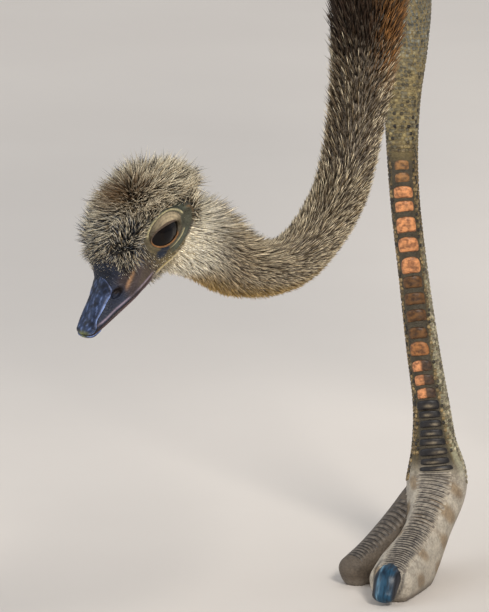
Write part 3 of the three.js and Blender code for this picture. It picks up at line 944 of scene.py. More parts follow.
def makeLid(side, name):
    bm = bmesh.new()
    bmesh.ops.create_grid(bm, x_segments=lidEdge["steps"], y_segments=lidEdge["sides"], size=0.5)
    flat = (np.array([vert.co[:2] for vert in bm.verts]) + 0.5) * 2 * math.pi
    x, z = lidPath(flat[:, 0])
    y = eyeDepth(x, z) + lidEdge["lift"]
    centre = np.column_stack([x, y, z])
    middle = np.array([lids["at"][0], 7, lids["at"][1]])
    outward = unit(np.column_stack([x, z]) - np.array(lids["at"]))
    across = np.column_stack([outward[:, 0], np.zeros(len(x)), outward[:, 1]])
    lift = unit(centre - middle)
    above = smoothStep(-0.4, 0.6, np.sin(flat[:, 0]))
    thick = (lidEdge["below"] + (lidEdge["above"] - lidEdge["below"]) * above)[:, None]
    turn = flat[:, 1:2]
    points = centre + thick * (np.cos(turn) * across * 1.3 + np.sin(turn) * lift)
    points[:, 1] *= side
    setPlaces(bm, fromHead(points))
    bmesh.ops.remove_doubles(bm, verts=bm.verts, dist=1e-6)
    bmesh.ops.recalc_face_normals(bm, faces=bm.faces)
    lid = linkMesh("lid_" + name, bm)
    rows = np.array([vert.co for vert in lid.data.vertices]) * metre - originShift
    local = toHead(rows)
    tilted = (local[:, 2] - lids["at"][1]) - (local[:, 0] - lids["at"][0]) * math.tan(math.radians(lids["tilt"]))
    colours = np.tile((0.24, 0.115, 0.045), (len(rows), 1))
    paint(lid.data, mixRows(colours, (0.10, 0.07, 0.05), smoothStep(-3, 3, tilted)))
    return lid


for side, name in ((1, "left"), (-1, "right")):
    dress(makeLid(side, name), skinFinish, "bare_skin")


# horny plates: each is a patch of the skin's surface that stands up from it like a pillow


def plateGrid(bm, part, patch, colours):
    # patch gives its rows and angles as functions of the plate's own s and t, both from -1 to 1
    start = len(bm.verts)
    made = bmesh.ops.create_grid(bm, x_segments=patch["across"], y_segments=patch["along"], size=1.0)["verts"]
    flat = np.array([vert.co[:2] for vert in made])
    s, t = flat.T
    rows, angles = patch["place"](s, t)
    points = partPoints(part, rows, angles / (2 * math.pi))[0]
    other = partPoints(part, rows, angles / (2 * math.pi) + 0.5)[0]
    outward = unit(points - (points + other) / 2)
    round = (1 - np.abs(s) ** patch.get("side", patch["edge"])) * (1 - np.abs(t) ** patch["edge"])
    rise = patch["height"] * round - patch["sunk"]
    rise = rise + patch.get("relief", lambda s, t: 0)(s, t)
    points = points + outward * rise[:, None]
    for vert, place in zip(made, (points + originShift) / metre):
        vert.co = place
    bm.verts.ensure_lookup_table()
    colours.append(patch["colour"](s, t))
    return start


def makePlates(name, part, patches, thickness, unwrapped=False):
    bm = bmesh.new()
    layer = bm.verts.layers.float_color.new("tint")
    colours = []
    for patch in patches:
        plateGrid(bm, part, patch, colours)
    for vert, colour in zip(bm.verts, np.vstack(colours)):
        vert[layer] = (*colour, 1)
    bmesh.ops.recalc_face_normals(bm, faces=bm.faces)
    bm.normal_update()
    # the normals of an open patch may point in, so they are recalculated after it is given thickness
    bmesh.ops.solidify(bm, geom=bm.faces[:], thickness=thickness / metre)
    bmesh.ops.recalc_face_normals(bm, faces=bm.faces)
    return linkMesh(name, bm)


def rowAt(part, axis, values):
    # the row at which the part's middle line passes a height or a length
    rows = np.linspace(part["domeRows"][0], 1 - part["domeRows"][1], 400)
    inside = (rows - part["domeRows"][0]) / (1 - sum(part["domeRows"]))
    shares = np.interp(inside, part["pace"][0], part["pace"][1])
    middle = spline(part["stations"], shares)[0][:, axis]
    order = np.argsort(middle)
    return np.interp(values, middle[order], rows[order])


# the bill's two nails, and the plate that runs back along the culmen

billPlate = {"back": 53, "mid": 78, "half": 47, "tip": 84, "height": 1.1}
billTints = {
    "blue": (0.009, 0.015, 0.036),
    "pale": (0.13, 0.18, 0.36),
    "tip": (0.09, 0.10, 0.03),
    "dark": (0.020, 0.022, 0.030),
}


def billColour(s, t):
    colours = np.tile(billTints["blue"], (len(s), 1))
    colours = mixRows(colours, billTints["pale"], smoothStep(0.80, 0.95, np.abs(s)) * 0.8)
    streak = np.sin(s * 19 + 3 * np.sin(t * 5) + 2) * np.sin(t * 9 + 4 * s)
    colours = mixRows(colours, billTints["pale"], 0.30 * smoothStep(0.3, 0.9, streak))
    return mixRows(colours, billTints["tip"], smoothStep(0.80, 0.98, t) * 0.85)


def upperPlate(s, t):
    head = skinParts["head"]
    back, mid = rowAt(head, 0, [billPlate["back"], billPlate["mid"]])
    along = (t + 1) / 2
    rows = back + (0.998 - back) * along
    ahead = smoothStep(0.0, 0.16, along) ** 0.5
    half = billPlate["half"] * ahead + (billPlate["tip"] - billPlate["half"]) * smoothStep(0.62, 0.92, along)
    return rows, np.radians(90 + s * half)


def lowerPlate(s, t):
    back = rowAt(skinParts["head"], 0, [76])[0]
    along = (t + 1) / 2
    half = 20 + 55 * smoothStep(0.1, 0.8, along)
    return back + (0.998 - back) * along, np.radians(270 + s * half)


billPatches = [
    {"place": upperPlate, "across": 30, "along": 70, "height": 1.1, "edge": 8, "sunk": 0.25, "colour": billColour,
     "relief": lambda s, t: 0.25 * bump(s, 0.35) * smoothStep(0.6, 0.0, t) - 0.12 * bump(np.abs(s) - 0.62, 0.1)},
    {"place": lowerPlate, "across": 16, "along": 24, "height": 0.7, "edge": 6, "sunk": 0.2, "colour": billColour},
]
billFinish = Finish("billHorn", Roughness=0.35, Specular_IOR_Level=0.28)
grainWire = billFinish.place.noise(160.0, 5.0, (1, 1, 1), 0.6)
scratches = billFinish.place.noise(500.0, 3.0)
billShade = grainWire.between(0.35, 0.65)
billMottle = billShade.mix((0.35, 0.35, 0.4, 1), (2.4, 2.4, 2.3, 1))
billFinish.feed(Base_Color=billMottle.times(billFinish.attribute("tint")))
billFinish.feed(Roughness=0.3 + 0.3 * scratches)
billFinish.feed(Normal=billFinish.bump(grainWire * 0.7 + scratches * 0.3, 0.0006, 0.5))
dress(makePlates("bill_plates", skinParts["head"], billPatches, 0.9), billFinish, "bill_horn")


# claws

clawShape = {
    "stations": [
        (-105.8, -111, 28, 7.4, 8.6, 8, 0, 1),
        (-106.2, -128.5, 23.3, 11.8, 9, 8, 0, 0.9),
        (-107, -138.4, 9.6, 10.6, 6.6, 7, 0, 0.85),
    ],
    "domes": (4, 6.5),
    "domeRows": (0.12, 0.2),
    "pace": ((0, 1), (0, 1)),
    "rings": 44,
    "sides": 40,
    "chart": (0, 0, 1, 1),
}
clawTints = {"tip": (0.007, 0.036, 0.070), "base": (0.007, 0.012, 0.018), "edge": (0.12, 0.22, 0.30)}


def layClaw(points, shares, angles):
    points = layFlat(points, shares, angles)
    ridge = 0.35 * np.cos(angles * 9) * smoothStep(0.1, 0.4, shares)
    points[:, 1] -= ridge * np.maximum(np.sin(angles), 0) * 0.5
    return points


clawShape["sculpt"] = layClaw
skinParts["claw"] = clawShape
clawFinish = Finish("clawHorn", Roughness=0.3, Specular_IOR_Level=0.35)
streaks = clawFinish.place.noise(140.0, 4.0, (3.0, 1.0, 0.5))
clawFinish.feed(Base_Color=streaks.between(0.3, 0.7).mix((0.3, 0.35, 0.4, 1), (2.0, 1.9, 1.8, 1)).times(clawFinish.attribute("tint")))
clawFinish.feed(Roughness=0.22 + 0.35 * streaks)
clawFinish.feed(Normal=clawFinish.bump(streaks, 0.0005, 0.5))


def makeClaw(name, part):
    skinParts["claw"] = part
    claw = makePart("claw")
    claw.name = "claw_horn_" + name
    claw.data.name = claw.name
    rows = np.array([vert.co for vert in claw.data.vertices]) * metre - originShift
    colours = np.tile(clawTints["tip"], (len(rows), 1))
    colours = mixRows(colours, clawTints["base"], smoothStep(31, 37, rows[:, 2]))
    across = np.abs(rows[:, 0]) - 106.5
    colours = mixRows(colours, (0.02, 0.013, 0.009), smoothStep(6, 9, np.abs(across + 0.5)) * 0.8)
    paint(claw.data, mixRows(colours, clawTints["edge"], bump(across - 5, 0.8) * 0.8))
    return claw


dress(makeClaw("right", clawShape), clawFinish, "claw_horn", "claw_right")
dress(makeClaw("left", leftSide(clawShape, (0, 0, 1, 1))), clawFinish, "claw_horn", "claw_left")
del skinParts["claw"]


# scutes down the front of each shank and along the top of each toe

# the height of each scute's top and foot on the shank, and its kind
shankScutes = (
    (373, 364, "small"), (362, 353, "small"), (350, 339, "orange"), (337, 327, "orange"),
    (323, 308.5, "orange"), (305, 291, "orange"), (287, 271.5, "orange"), (270, 258.5, "brown"),
    (255, 243.5, "brown"), (240, 228.5, "brown"), (224, 213, "brown"), (211, 197.5, "rust"),
    (194, 183.5, "pair"), (181, 171, "pair"), (169, 159, "pair"), (157.5, 149.5, "dark"),
    (148.5, 141, "dark"), (140, 132.5, "dark"), (131.5, 124.5, "dark"), (123.5, 116.5, "dark"),
    (115.5, 109, "dark"), (108, 101.5, "dark"), (100.5, 94.5, "dark"),
)
scuteKinds = {
    "small": {"middle": (0.27, 0.135, 0.05), "rim": (0.03, 0.02, 0.012), "height": 0.9},
    "orange": {"middle": (0.62, 0.27, 0.115), "rim": (0.070, 0.034, 0.016), "height": 1.5},
    "pair": {"middle": (0.62, 0.27, 0.12), "rim": (0.030, 0.018, 0.012), "height": 1.4},
    "rust": {"middle": (0.32, 0.135, 0.045), "rim": (0.022, 0.014, 0.010), "height": 1.4},
    "brown": {"middle": (0.125, 0.056, 0.015), "rim": (0.014, 0.010, 0.008), "height": 1.5},
    "dark": {"middle": (0.012, 0.010, 0.011), "rim": (0.17, 0.14, 0.095), "height": 1.5},
    "toe": {"middle": (0.27, 0.24, 0.205), "rim": (0.014, 0.012, 0.012), "height": 1.1},
    "toeOuter": {"middle": (0.13, 0.112, 0.095), "rim": (0.022, 0.019, 0.018), "height": 1.0},
}


def scutePatch(part, first, last, kind, number, front, half):
    look = scuteKinds[kind]
    onToe = kind.startswith("toe")
    skew = 0.14 * math.sin(number * 2.3)
    wide = half * (1 + 0.05 * math.sin(number * 1.7)) * (0.7 if kind == "small" else 1)
    mirror = part["stations"][0][0] > 0

    corner = 0 if onToe else 0.15 + 0.05 * math.sin(number * 1.3)

    def place(s, t):
        s, t = s * (1 - corner * t**4), t * (1 - 1.2 * corner * s**4)
        rows = first + (last - first) * ((t + 1) / 2 + 0.16 * (s * s + skew * s))
        turn = front + s * wide
        return rows, np.radians(180 - turn if mirror else turn)

    def colour(s, t):
        # painted highlight in the middle of each scute and painted shade towards its edges, for the pillow's rounding
        middle = np.tile(look["middle"], (len(s), 1)) * (1.12 - 0.35 * np.maximum(s * s, t * t))[:, None]
        blotch = bump(np.hypot(s + 0.1 + 2 * skew, t - 0.2), 0.3)
        middle = mixRows(middle, np.array(look["rim"]) * 2, 0.6 * blotch)
        if kind == "pair":
            middle = mixRows(middle, (0.075, 0.042, 0.024), smoothStep(0.1, -0.15, s))
        if onToe:
            line = smoothStep(0.35, 0.8, np.abs(t)) * smoothStep(1.0, 0.7, np.abs(s))
            middle = mixRows(middle, look["rim"], line)
            return mixRows(middle, tints[kind], smoothStep(0.45, 0.95, np.abs(s)))
        edge = np.maximum(np.abs(s) ** 3, np.abs(t) ** 3)
        return mixRows(middle, look["rim"], smoothStep(0.70, 0.95, edge))

    return {"place": place, "colour": colour, "across": 16, "along": 8 if onToe else 12,
            "height": look["height"], "edge": 6, "side": 2 if onToe else 6, "sunk": 0.3,
            "relief": lambda s, t: 0.12 * np.sin(3 * s + number) * np.cos(2 * t)}


def legScutes(part):
    patches = []
    for number, (top, foot, kind) in enumerate(shankScutes):
        first, last = rowAt(part, 2, [top, foot])
        patches.append(scutePatch(part, first, last, kind, number, *scuteBand((top + foot) / 2)))
    rows = np.linspace(rowAt(part, 2, [93])[0], 1 - part["domeRows"][1] * 0.7, 38)
    for number, (first, last) in enumerate(zip(rows, rows[1:])):
        patches.append(scutePatch(part, first, first + (last - first) * 0.93, "toe", number + 40, 78, 44))
    return patches


def toeScutes(part):
    inside = np.linspace(0.15, 0.97, 18)
    rows = part["domeRows"][0] + inside * (1 - sum(part["domeRows"]))
    return [scutePatch(part, first, last - (last - first) * 0.07, "toeOuter", number, 78, 42)
            for number, (first, last) in enumerate(zip(rows, rows[1:]))]


scuteFinish = Finish("scuteHorn", Roughness=0.42, Specular_IOR_Level=0.45)
blotches = scuteFinish.place.noise(210.0, 5.0, (1, 1, 1.4), 0.62)
scuteFinish.feed(Base_Color=blotches.between(0.35, 0.62).mix((0.42, 0.38, 0.36, 1), (1.25, 1.2, 1.1, 1)).times(scuteFinish.attribute("tint")))
scuteFinish.feed(Roughness=0.3 + 0.35 * blotches)
scuteFinish.feed(Normal=scuteFinish.bump(blotches, 0.0007, 0.6))
for name, leg, toe in (("right", "leg", "toe"), ("left", "legLeft", "toeLeft")):
    dress(makePlates("scutes_" + name, skinParts[leg], legScutes(skinParts[leg]), 1.2), scuteFinish, "leg_scales")
    dress(makePlates("toe_scutes_" + name, skinParts[toe], toeScutes(skinParts[toe]), 1.0), scuteFinish, "leg_scales")


# scattering: small closed shapes rooted on the skin, copied by arrays


def taper(sides, widths):
    # a closed spike along z from 0 to 1, whose ring sizes are given from root to tip
    bm = bmesh.new()
    ring = bmesh.ops.create_circle(bm, cap_ends=True, segments=sides, radius=widths[0])["verts"]
    edges = bm.edges[:]
    for k, (before, width) in enumerate(zip(widths, widths[1:]), 1):
        made = bmesh.ops.extrude_edge_only(bm, edges=edges)["geom"]
        ring = [part for part in made if isinstance(part, bmesh.types.BMVert)]
        edges = [part for part in made if isinstance(part, bmesh.types.BMEdge)]
        for vert in ring:
            vert.co = (vert.co.x * width / before, vert.co.y * width / before, k / (len(widths) - 1))
    if widths[-1] < 0.06:
        bmesh.ops.pointmerge(bm, verts=ring, merge_co=(0, 0, 1))
    bmesh.ops.recalc_face_normals(bm, faces=bm.faces)
    bmesh.ops.triangulate(bm, faces=bm.faces)
    bm.verts.index_update()
    shape = np.array([vert.co for vert in bm.verts])
    faces = np.array([[vert.index for vert in face.verts] for face in bm.faces])
    bm.free()
    return shape, faces


def plume(locks, spread, droop, thin):
    # one plume: a shaft with limp side locks, as (along, across, out) of its own length
    shaft, shaftFaces = taper(3, (1, 0.8, 0.05))
    lock, lockFaces = taper(3, (1, 0.95, 0.05))
    rows = [np.column_stack([shaft[:, 2], shaft[:, 0] * thin * 0.7, shaft[:, 1] * thin * 0.5])]
    faces = [shaftFaces]
    count = len(shaft)
    for k in range(locks):
        side = 1 if k % 2 else -1
        root = 0.10 + 0.74 * k / locks
        length = (1.06 - root) * (0.62 + 0.10 * math.sin(k * 2.1))
        angle = math.radians(spread * (1 - 0.35 * k / locks) * (1 + 0.2 * math.sin(k * 1.3)))
        t = lock[:, 2]
        along = root + length * t * math.cos(angle) + 0.03 * t * t
        across = side * length * math.sin(angle) * (t - 0.35 * t * t) + lock[:, 0] * thin
        out = -droop * t * t * (1 + 0.4 * math.sin(k * 3.7)) + lock[:, 1] * thin * 0.35
        rows.append(np.column_stack([along, across, out]))
        faces.append(lockFaces + count)
        count += len(lock)
    return np.vstack(rows), np.vstack(faces)


def spike(widths, sides=3):
    # one bristle, as (along, across, out), where across and out are in widths
    shape, faces = taper(sides, widths)
    return np.column_stack([shape[:, 2], shape[:, 0], shape[:, 1]]), faces


skinMesh = skin.data
skinMesh.calc_loop_triangles()
triangles = np.empty(len(skinMesh.loop_triangles) * 3, np.int32)
skinMesh.loop_triangles.foreach_get("vertices", triangles)
triangles = triangles.reshape(-1, 3)
triangleLoops = np.empty(len(skinMesh.loop_triangles) * 3, np.int32)
skinMesh.loop_triangles.foreach_get("loops", triangleLoops)
triangleLoops = triangleLoops.reshape(-1, 3)
loopUnwrap = np.empty(len(skinMesh.loops) * 2, np.float32)
skinMesh.uv_layers["OFBake"].data.foreach_get("uv", loopUnwrap)
loopUnwrap = loopUnwrap.reshape(-1, 2).astype(float)
corners = places[triangles]
triangleAreas = np.linalg.norm(np.cross(corners[:, 1] - corners[:, 0], corners[:, 2] - corners[:, 0]), axis=1) / 2
triangleMiddles = corners.mean(axis=1)
triangleKinds, triangleRows = readSkin(loopUnwrap[triangleLoops].mean(axis=1))


def rootsOn(names, count, weight):
    # evenly spread roots on parts of the skin, thicker where the weight is larger
    wanted = np.isin(triangleKinds, [partNames.index(name) for name in names])
    chosen = np.flatnonzero(wanted)
    density = triangleAreas[chosen] * weight(triangleMiddles[chosen], triangleRows[chosen], triangleKinds[chosen])
    total = np.cumsum(density)
    draws = (np.arange(count) + random.random(count)) / count * total[-1]
    picked = chosen[np.minimum(np.searchsorted(total, draws), len(chosen) - 1)]
    a, b = random.random((2, count, 1))
    flip = a + b > 1
    a = np.where(flip, 1 - a, a)
    b = np.where(flip, 1 - b, b)
    share = np.concatenate([1 - a - b, a, b], axis=1)[:, :, None]
    roots = np.sum(places[triangles[picked]] * share, axis=1)
    facing = unit(np.sum(normals[triangles[picked]] * share, axis=1))
    uv = np.sum(loopUnwrap[triangleLoops[picked]] * share, axis=1)
    kinds, rows = readSkin(uv)
    return {"at": roots, "out": facing, "uv": uv, "kind": kinds, "row": rows[:, 0], "angle": rows[:, 1] * 2 * math.pi}


def scatter(name, shape, roots, aim, bend, length, width, tints, sunk=0.6, twist=0.0):
    # aim is where each tuft first points, bend how it curves, both with the tuft's length as 1
    proto, faces = shape
    count = len(roots["at"])
    aim = unit(aim)
    side = unit(np.cross(aim, roots["out"]))
    up = np.cross(side, aim)
    roll = random.normal(0, twist, (count, 1))
    side, up = side * np.cos(roll) + up * np.sin(roll), up * np.cos(roll) - side * np.sin(roll)
    along = proto[None, :, 0:1]
    long = np.reshape(length, (-1, 1, 1))
    wide = np.reshape(width, (-1, 1, 1))
    start = roots["at"] - roots["out"] * sunk
    verts = start[:, None] + long * (along * aim[:, None] + along**2 * bend[:, None])
    verts = verts + wide * (proto[None, :, 1:2] * side[:, None] + proto[None, :, 2:3] * up[:, None])
    verts = (verts.reshape(-1, 3) + originShift) / metre
    verts[:, 2] = np.maximum(verts[:, 2], 0.0005)
    copies = faces[None] + np.arange(count)[:, None, None] * len(proto)
    mesh = bpy.data.meshes.new(name)
    corners = copies.reshape(-1)
    mesh.vertices.add(len(verts))
    mesh.vertices.foreach_set("co", verts.astype(np.float32).ravel())
    mesh.loops.add(len(corners))
    mesh.loops.foreach_set("vertex_index", corners.astype(np.int32))
    mesh.polygons.add(len(corners) // 3)
    mesh.polygons.foreach_set("loop_start", np.arange(0, len(corners), 3, dtype=np.int32))
    mesh.update(calc_edges=True)
    # each tuft is a small patch at its root's place on the skin's unwrap
    patch = 0.003
    spread = np.column_stack([proto[:, 0] - 0.5, 0.5 * proto[:, 1] / max(np.abs(proto[:, 1]).max(), 1e-6)])
    uv = roots["uv"][:, None] + spread[None] * patch
    layer = mesh.uv_layers.new(name="OFBake")
    layer.data.foreach_set("uv", uv.reshape(-1, 2)[corners].astype(np.float32).ravel())
    root, tip = tints
    fade = np.clip(proto[None, :, 0:1], 0, 1) ** 1.3
    colours = root[:, None] * (1 - fade) + tip[:, None] * fade
    paint(mesh, colours.reshape(-1, 3))
    return linkMesh(name, mesh=mesh)


def tangent(direction, facing):
    return unit(direction - facing * dot(direction, facing))


def mottled(base, amount):
    # a base colour for each tuft, lighter or darker at random
    return base * np.exp(random.normal(0, amount, (len(base), 1)))


def pick(count, choices, shares):
    return np.array(choices)[random.choice(len(choices), count, p=shares)]


# small scales round the shanks

shankScales = {
    "low": 84, "high": 590, "step": 3.6, "pitch": 3.9, "long": 4.1, "wide": 2.15,
    "olive": ((0.34, 0.245, 0.115), (0.21, 0.15, 0.066), (0.035, 0.027, 0.018)),
    "hock": ((0.33, 0.27, 0.13), (0.24, 0.215, 0.14), (0.16, 0.135, 0.075)),
    "above": ((0.26, 0.27, 0.24), (0.33, 0.30, 0.20), (0.17, 0.17, 0.14)),
    "back": ((0.56, 0.51, 0.37), (0.42, 0.38, 0.26), (0.20, 0.17, 0.11)),
}


def makeShankScales(name, legName):
    part = skinParts[legName]
    mirror = legName.endswith("Left")
    heights = np.arange(shankScales["low"], shankScales["high"], shankScales["step"])
    rows = []
    angles = []
    for number, (height, row) in enumerate(zip(heights, rowAt(part, 2, heights))):
        front, half = scuteBand(height)
        around = 2 * math.pi * np.interp(height, (84, 110, 200, 340, 440, 516, 590), (30, 22, 16.5, 15, 18, 25, 29))
        turns = (np.arange(0, around, shankScales["pitch"]) / around + 0.5 * (number % 2) / around * 3.9) * 360 - 180
        turns = turns + random.normal(0, 1.5, len(turns))
        if height < 380:
            turns = turns[np.abs(turns) > half + 3]
        if height < 110:
            turns = turns[np.abs(turns) > 70]
        turns = turns + front
        angles.append(np.radians(180 - turns if mirror else turns))
        rows.append(np.full(len(turns), row) + random.normal(0, 0.0004, len(turns)))
    rows = np.concatenate(rows)
    angles = np.concatenate(angles) % (2 * math.pi)
    share = angles / (2 * math.pi)
    at = partPoints(part, rows, share)[0]
    outward = unit(at - partPoints(part, rows, share + 0.5)[0])
    down = unit(partPoints(part, rows + 0.003, share)[0] - at)
    u0, v0, u1, v1 = part["chart"]
    uv = np.column_stack([u0 + (u1 - u0) * rows, v0 + (v1 - v0) * share])
    roots = {"at": at, "out": outward, "uv": uv}
    count = len(at)
    height = at[:, 2]
    front, half = scuteBand(height)
    turn = (180 - np.degrees(angles) if mirror else np.degrees(angles)) - front
    turn = (turn + 180) % 360 - 180
    shares = (0.42, 0.28, 0.30)
    colours = pick(count, shankScales["olive"], shares)
    back = np.maximum(smoothStep(95, 130, np.abs(turn)), smoothStep(-half - 8, -half - 22, turn) * smoothStep(330, 260, height))
    colours = mixRows(colours, pick(count, shankScales["back"], shares), back)
    colours = mixRows(colours, pick(count, shankScales["hock"], shares), smoothStep(368, 400, height))
    colours = mixRows(colours, pick(count, shankScales["above"], shares), smoothStep(450, 490, height))
    specks = bump(height - 405, 32) * (random.random(count) < 0.14)
    colours = mixRows(colours, (0.02, 0.014, 0.01), specks)
    colours = mixRows(colours, tints["thigh"], smoothStep(520, 585, height))
    colours = mottled(colours, 0.16)
    cone, faces = taper(6, (1, 0.75, 0.05))
    shape = np.column_stack([0.5 + 0.5 * cone[:, 0], cone[:, 1], 0.42 * cone[:, 2] ** 0.4])
    rise = 1 - 0.6 * smoothStep(430, 590, height)
    return scatter(name, (shape, faces), roots, down, np.zeros((count, 3)), shankScales["long"],
                   shankScales["wide"] * rise, (colours * 0.6, colours), sunk=0.2)


for name, leg in (("right", "leg"), ("left", "legLeft")):
    dress(makeShankScales("shank_scales_" + name, leg), scuteFinish, "leg_scales")


# bristles of the head

headCoat = {
    "count": 9900,
    "whorl": (-4, 0, 34),
    "longest": 16.6,
    "shortest": 4.5,
    "width": 0.37,
    "darks": ((0.013, 0.011, 0.011), (0.045, 0.032, 0.020), (0.42, 0.34, 0.21)),
    "tips": ((0.98, 0.86, 0.63), (0.42, 0.31, 0.17), (0.012, 0.010, 0.009)),
}


def headWeight(points, rows, kinds):
    x, y, z = toHead(points).T
    out = np.abs(y)
    mouthX, mouthZ = np.array(mouthLine).T
    below = z - np.interp(x, mouthX, mouthZ)
    folds = foldRing(x, z)
    edge = 1.05 + 0.3 * smoothStep(2, -10, x) * smoothStep(14, 4, z)
    eyeBare = np.maximum(smoothStep(edge, edge + 0.15, folds), 0.3 * smoothStep(1.07, 1.14, folds))
    eyeBare = np.where(out > 10, eyeBare, 1)
    # the face is bare in front of and below the eye, the forehead's bristles end in a wedge
    line = 13 - (x - 20) * 0.66
    face = np.where(x > 4, smoothStep(line - 5, line + 3, z), smoothStep(-12, -2, z + np.minimum(x + 12, 0) * 0.8))
    face = np.maximum(face, smoothStep(-33, -41, x))
    cheek = 0.34 * smoothStep(30, 22, x) * smoothStep(1.1, 1.25, folds) * smoothStep(1, 3, below)
    face = np.maximum(face, cheek)
    wedge = 1 - smoothStep(42, 60, x + out * 0.4)
    earBare = 0.25 + 0.75 * smoothStep(0.9, 1.3, np.hypot((x + 29) / 10, (z + 8) / 9))
    weight = eyeBare * face * wedge * earBare
    throat = smoothStep(-1, -4, below) * smoothStep(30, 16, x) * 0.55
    return np.maximum(weight, throat) * (1 + 0.3 * (z > 0)) + 1e-9


def makeHeadBristles():
    roots = rootsOn(["head"], headCoat["count"], headWeight)
    count = len(roots["at"])
    local = toHead(roots["at"])
    x, y, z = local.T
    away = local - np.array(headCoat["whorl"])
    away = away + np.column_stack([np.full(count, 6.0), np.zeros(count), np.zeros(count)])
    behind = smoothStep(-20, -40, x) * smoothStep(10, -10, z)
    below = smoothStep(-18, -26, z)
    away = away * (1 - below)[:, None] + np.array([-14.0, 0, -16.0]) * below[:, None]
    lie = tangent(unit(away) @ headAxes.T + random.normal(0, 0.42, (count, 3)), roots["out"])
    # above the eye they part from it
    brow = smoothStep(4.2, 2.2, lidRing(x, z)) * smoothStep(0, 6, lidSide(x, z)) * (np.abs(y) > 10)
    lift = tangent(np.tile(headAxes @ (-0.4, 0, 1), (count, 1)), roots["out"])
    lie = unit(lie * (1 - brow)[:, None] + lift * brow[:, None])
    front = smoothStep(-4, 14, x)
    stand = np.radians(66 + 14 * front - 22 * behind)
    stand = stand + random.normal(0, 0.15, count)
    aim = lie * np.cos(stand)[:, None] + roots["out"] * np.sin(stand)[:, None]
    crown = smoothStep(58, 24, x) * smoothStep(-12, 8, z)
    nape = smoothStep(-18, -36, x) * smoothStep(-44, -26, z)
    length = headCoat["shortest"] + (headCoat["longest"] - headCoat["shortest"]) * np.maximum(crown * (1 - 0.1 * front), 0.5 * nape)
    length = length * (0.65 + 0.5 * random.random(count) + 0.35 * (random.random(count) > 0.9))
    length = length * (0.3 + 0.7 * np.maximum(smoothStep(1.1, 1.8, foldRing(x, z)), np.abs(y) < 12))
    mouthX, mouthZ = np.array(mouthLine).T
    bareCheek = smoothStep(-40, -30, x) * smoothStep(0, -10, z) * (z > np.interp(x, mouthX, mouthZ))
    length = length * (1 - 0.45 * bareCheek) * (1 - 0.8 * smoothStep(34, 52, x))
    bend = lie * 0.22 + np.array([0, 0, -0.05])
    root = pick(count, headCoat["darks"], (0.6, 0.25, 0.15))
    tip = pick(count, headCoat["tips"], (0.53, 0.14, 0.33))
    cream = smoothStep(-16, -24, z)
    root = mixRows(root, (0.40, 0.33, 0.20), cream * 0.7)
    tip = mixRows(tip, (0.62, 0.55, 0.42), cream * 0.8)
    whorl = bump(np.hypot(x + 2, y), 15) * (z > 20)
    root = mixRows(root, (0.05, 0.025, 0.009), whorl * 0.9)
    tip = mixRows(tip, (0.17, 0.085, 0.028), whorl * 0.85)
    blue = smoothStep(4, 22, x) * 0.6
    root = mixRows(root, (0.030, 0.038, 0.062), blue)
    tip = mixRows(tip, (0.17, 0.21, 0.28), blue * (random.random(count) < 0.3))
    return scatter("head_bristles", spike((1, 0.75, 0.04)), roots, aim, bend, length,
                   headCoat["width"], (mottled(root, 0.25), mottled(tip, 0.25)))


bristleFinish = Finish("bristles", Roughness=0.6, Specular_IOR_Level=0.3)
streak = bristleFinish.place.noise(700.0, 2.0)
bristleFinish.feed(Base_Color=streak.between(0.3, 0.7).mix((0.8, 0.8, 0.8, 1), (1.2, 1.2, 1.2, 1)).times(
    bristleFinish.attribute("tint")))
bristleFinish.feed(Roughness=0.5 + 0.25 * streak)
dress(makeHeadBristles(), bristleFinish, "neck_bristles")


# bristles of the neck, longer and darker as it rises to the body

neckCoat = {
    "count": 16000,
    "low": 6.6,
    "high": 36.0,
    "width": 0.42,
    "darks": ((0.08, 0.056, 0.035), (0.26, 0.20, 0.12), (0.022, 0.016, 0.012)),
    "tips": ((0.96, 0.81, 0.56), (0.48, 0.35, 0.19), (0.034, 0.023, 0.015)),
}


def neckWeight(points, rows, kinds):
    return np.where(points[:, 2] < 600, 1.0, 0.30) * (points[:, 2] < 860) + 1e-9


def neckLie(roots):
    # from the head back towards the body
    part = skinParts["neck"]
    start, end = part["domeRows"]
    shares = np.interp((roots["row"] - start) / (1 - start - end), *part["pace"])
    return -tubeFrame(part["stations"], shares)[1]


